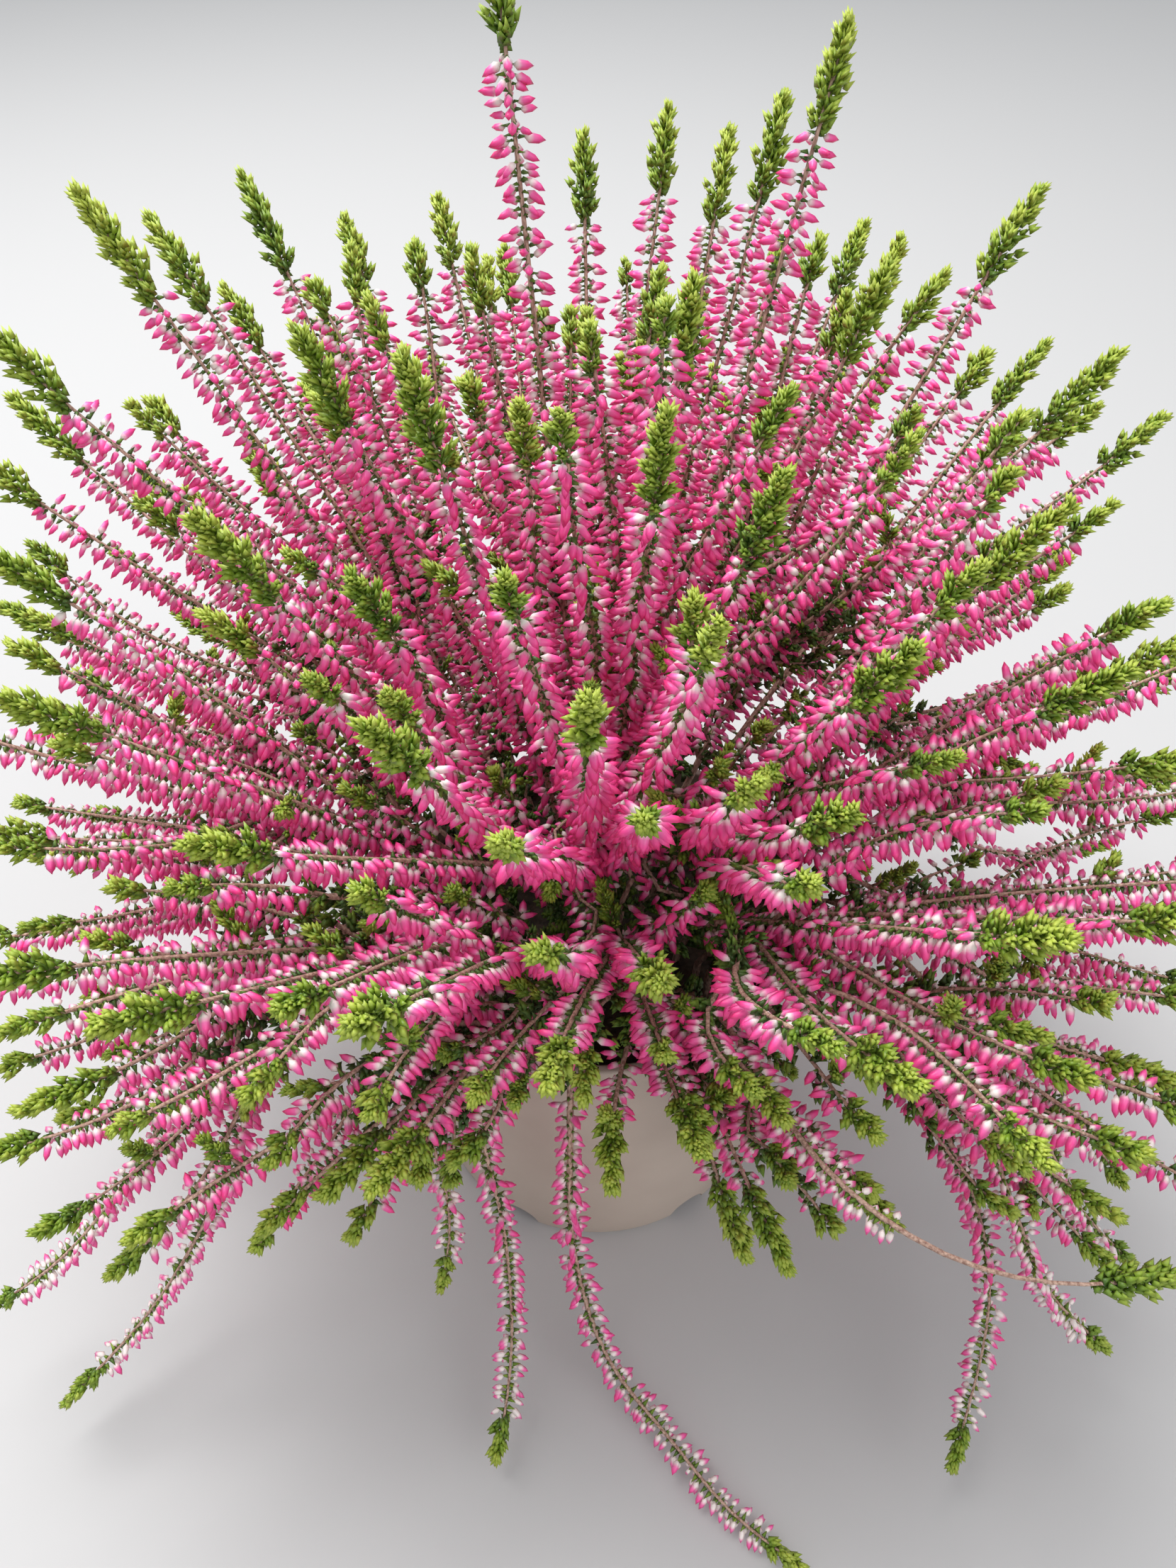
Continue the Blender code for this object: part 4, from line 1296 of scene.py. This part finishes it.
def flowering_parts(spray, draw, plume, longest, tint, spacing, ages):
    """A flowering spray from its foot to its tip, as (copies, material number) pairs."""
    length = spray.along()[-1]
    grown = spray.grown()
    leafy_from = max(LEAFY_FROM - grown, LEAFY_FROM_FORK)
    buds_from = max(FLOWERS_FROM - grown, 0.0 if grown == 0 else FORK_BARE)
    buds_to = length - plume
    if spray.branch == BARE_TRAILING:
        buds_to -= BARE_BEFORE_PLUME
    place, way, lengths = lower_twigs(spray, draw, leafy_from, buds_from)
    made = [
        (leaves_of(place, way, lengths, draw.uniform(*LOWER_LEAF_AGES, len(lengths)), draw), 1),
        (plume_leaves(spray, draw, plume, longest, tint), 1),
    ]
    if buds_to - buds_from > spacing:
        buds, stalks = flower_buds(spray, draw, buds_from, buds_to, spacing, ages)
        made.append((copies(bud, *buds), 2))
        made.append((copies(leaf, *sepals(buds, stalks, draw)), 1))
    return made


def spray_parts(number, spray):
    """What one spray carries, as (copies, material number) pairs."""
    draw = np.random.default_rng(FIRST_SPRAY_SEED + number)
    if number >= first_tuft:
        plume = TUFT_PLUME_SHARE * spray.along()[-1]
        return [(plume_leaves(spray, draw, plume, draw.uniform(*TUFT_TWIG), TUFT_TINT), 1)]
    ages = [draw.uniform(*limits) for limits in BUD_AGES]
    if spray.branch >= trailing_from:
        ages = [draw.uniform(*limits) for limits in TRAILING_BUD_AGES]
    if number >= first_inner:
        plume, longest, tint = draw.uniform(*INNER_PLUME), draw.uniform(*INNER_TWIG), INNER_TINT
    elif number >= first_outer or spray.plume < PLUME_LENGTH:
        plume, longest, tint = draw.uniform(*OUTER_PLUME), draw.uniform(*OUTER_TWIG), OUTER_TINT
    elif spray.branch >= trailing_from and spray.branch != BARE_TRAILING:
        plume, longest = draw.uniform(*TRAILING_PLUME), draw.uniform(*TRAILING_TWIG)
        tint = TRAILING_TINT
    else:
        plume = PLUME_LENGTH * draw.uniform(*PLUME_SHARE)
        longest, tint = draw.uniform(*PLUME_TWIG), PLUME_TINT
    spacing = INNER_NODE_SPACING if number >= first_inner else BUD_NODE_SPACING
    return flowering_parts(spray, draw, plume, longest, tint, spacing, ages)


def join(parts):
    """Parts as (points, faces, growth, material number) put one after another."""
    offsets = np.cumsum([0] + [len(points) for points, *_ in parts])
    points = np.vstack([points for points, *_ in parts])
    faces = np.vstack([faces + offset for (_, faces, *_), offset in zip(parts, offsets)])
    growth = np.vstack([growth for _, _, growth, _ in parts])
    finish = np.concatenate([np.full(len(faces), number) for _, faces, _, number in parts])
    return points, faces, growth, finish


def grown_mesh(name, parts, finishes):
    """A mesh from joined parts, smooth, with its growth as a vector on every point."""
    points, faces, growth, finish = join(parts)
    mesh = bpy.data.meshes.new(name)
    mesh.vertices.add(len(points))
    mesh.vertices.foreach_set("co", points.astype(np.float32).ravel())
    mesh.loops.add(3 * len(faces))
    mesh.loops.foreach_set("vertex_index", faces.astype(np.int32).ravel())
    mesh.polygons.add(len(faces))
    mesh.polygons.foreach_set("loop_start", np.arange(0, 3 * len(faces), 3, dtype=np.int32))
    mesh.polygons.foreach_set("material_index", finish.astype(np.int32))
    mesh.polygons.foreach_set("use_smooth", np.ones(len(faces), dtype=bool))
    carried = mesh.attributes.new("growth", "FLOAT_VECTOR", "POINT")
    carried.data.foreach_set("vector", growth.astype(np.float32).ravel())
    mesh.update(calc_edges=True)
    mesh.validate()
    for material in finishes:
        mesh.materials.append(material)
    return mesh


finishes = [bark(), leaf_green(), bud_skin()]
bud = bud_shape()
leaf = leaf_shape(LEAF_LENGTH, LEAF_WIDTH)
twig_leaf = leaf_shape(TWIG_LEAF_LENGTH, TWIG_LEAF_WIDTH)
first_outer = len(sprays)
first_inner = first_outer + len(outer)
first_tuft = first_inner + len(inner)
grown = sprays + outer + inner + tufts
for branch in range(max(spray.branch for spray in sprays) + 1):
    parts = []
    for number, spray in enumerate(grown):
        if spray.branch == branch:
            parts.append((*stem_mesh(spray), 0))
            parts += [(*made, finish) for made, finish in spray_parts(number, spray)]
    label = "trailing_spray" if branch >= trailing_from else "branch"
    node = f"{label}_{branch + 1:02d}"
    piece = link(bpy.data.objects.new(f"heather_{node}", grown_mesh(node, parts, finishes)))
    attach(piece, "root")
    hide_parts(node)


# Floor and light
# A plain pale floor and broad soft lamps, so that nothing but the plant draws the eye.
FLOOR_SIZE = 16.0
FLOOR_COLOUR = (0.52, 0.515, 0.51)
PLANT_MIDDLE = Vector((0, 0, 0.15))
ROOM_LIGHT = (0.93, 0.96, 1.0)
ROOM_STRENGTH = 0.66


def pale_floor():
    mesh = bpy.data.meshes.new("floor")
    half = 0.5 * FLOOR_SIZE
    corners = [(-half, -half, 0), (half, -half, 0), (half, half, 0), (-half, half, 0)]
    mesh.from_pydata(corners, [], [(0, 1, 2, 3)])
    material, _, _, shader = new_material("pale_floor")
    shader.inputs["Base Color"].default_value = (*FLOOR_COLOUR, 1)
    shader.inputs["Roughness"].default_value = 0.8
    mesh.materials.append(material)
    return link(bpy.data.objects.new("floor", mesh))


def soft_lamp(name, place, size, power):
    """A square area lamp that faces the middle of the plant."""
    lamp = bpy.data.lights.new(name, "AREA")
    lamp.size = size
    lamp.energy = power
    holder = link(bpy.data.objects.new(name, lamp))
    holder.location = place
    aim = PLANT_MIDDLE - Vector(place)
    holder.rotation_euler = aim.to_track_quat("-Z", "Y").to_euler()
    return holder


pale_floor()
soft_lamp("window_above", (-0.5, 0.5, 1.7), 1.3, 40)
soft_lamp("fill_in_front", (0.9, -1.2, 1.2), 1.2, 8)
world = bpy.data.worlds.new("room")
world.use_nodes = True
background = world.node_tree.nodes["Background"]
background.inputs["Color"].default_value = (*ROOM_LIGHT, 1)
background.inputs["Strength"].default_value = ROOM_STRENGTH
bpy.context.scene.world = world
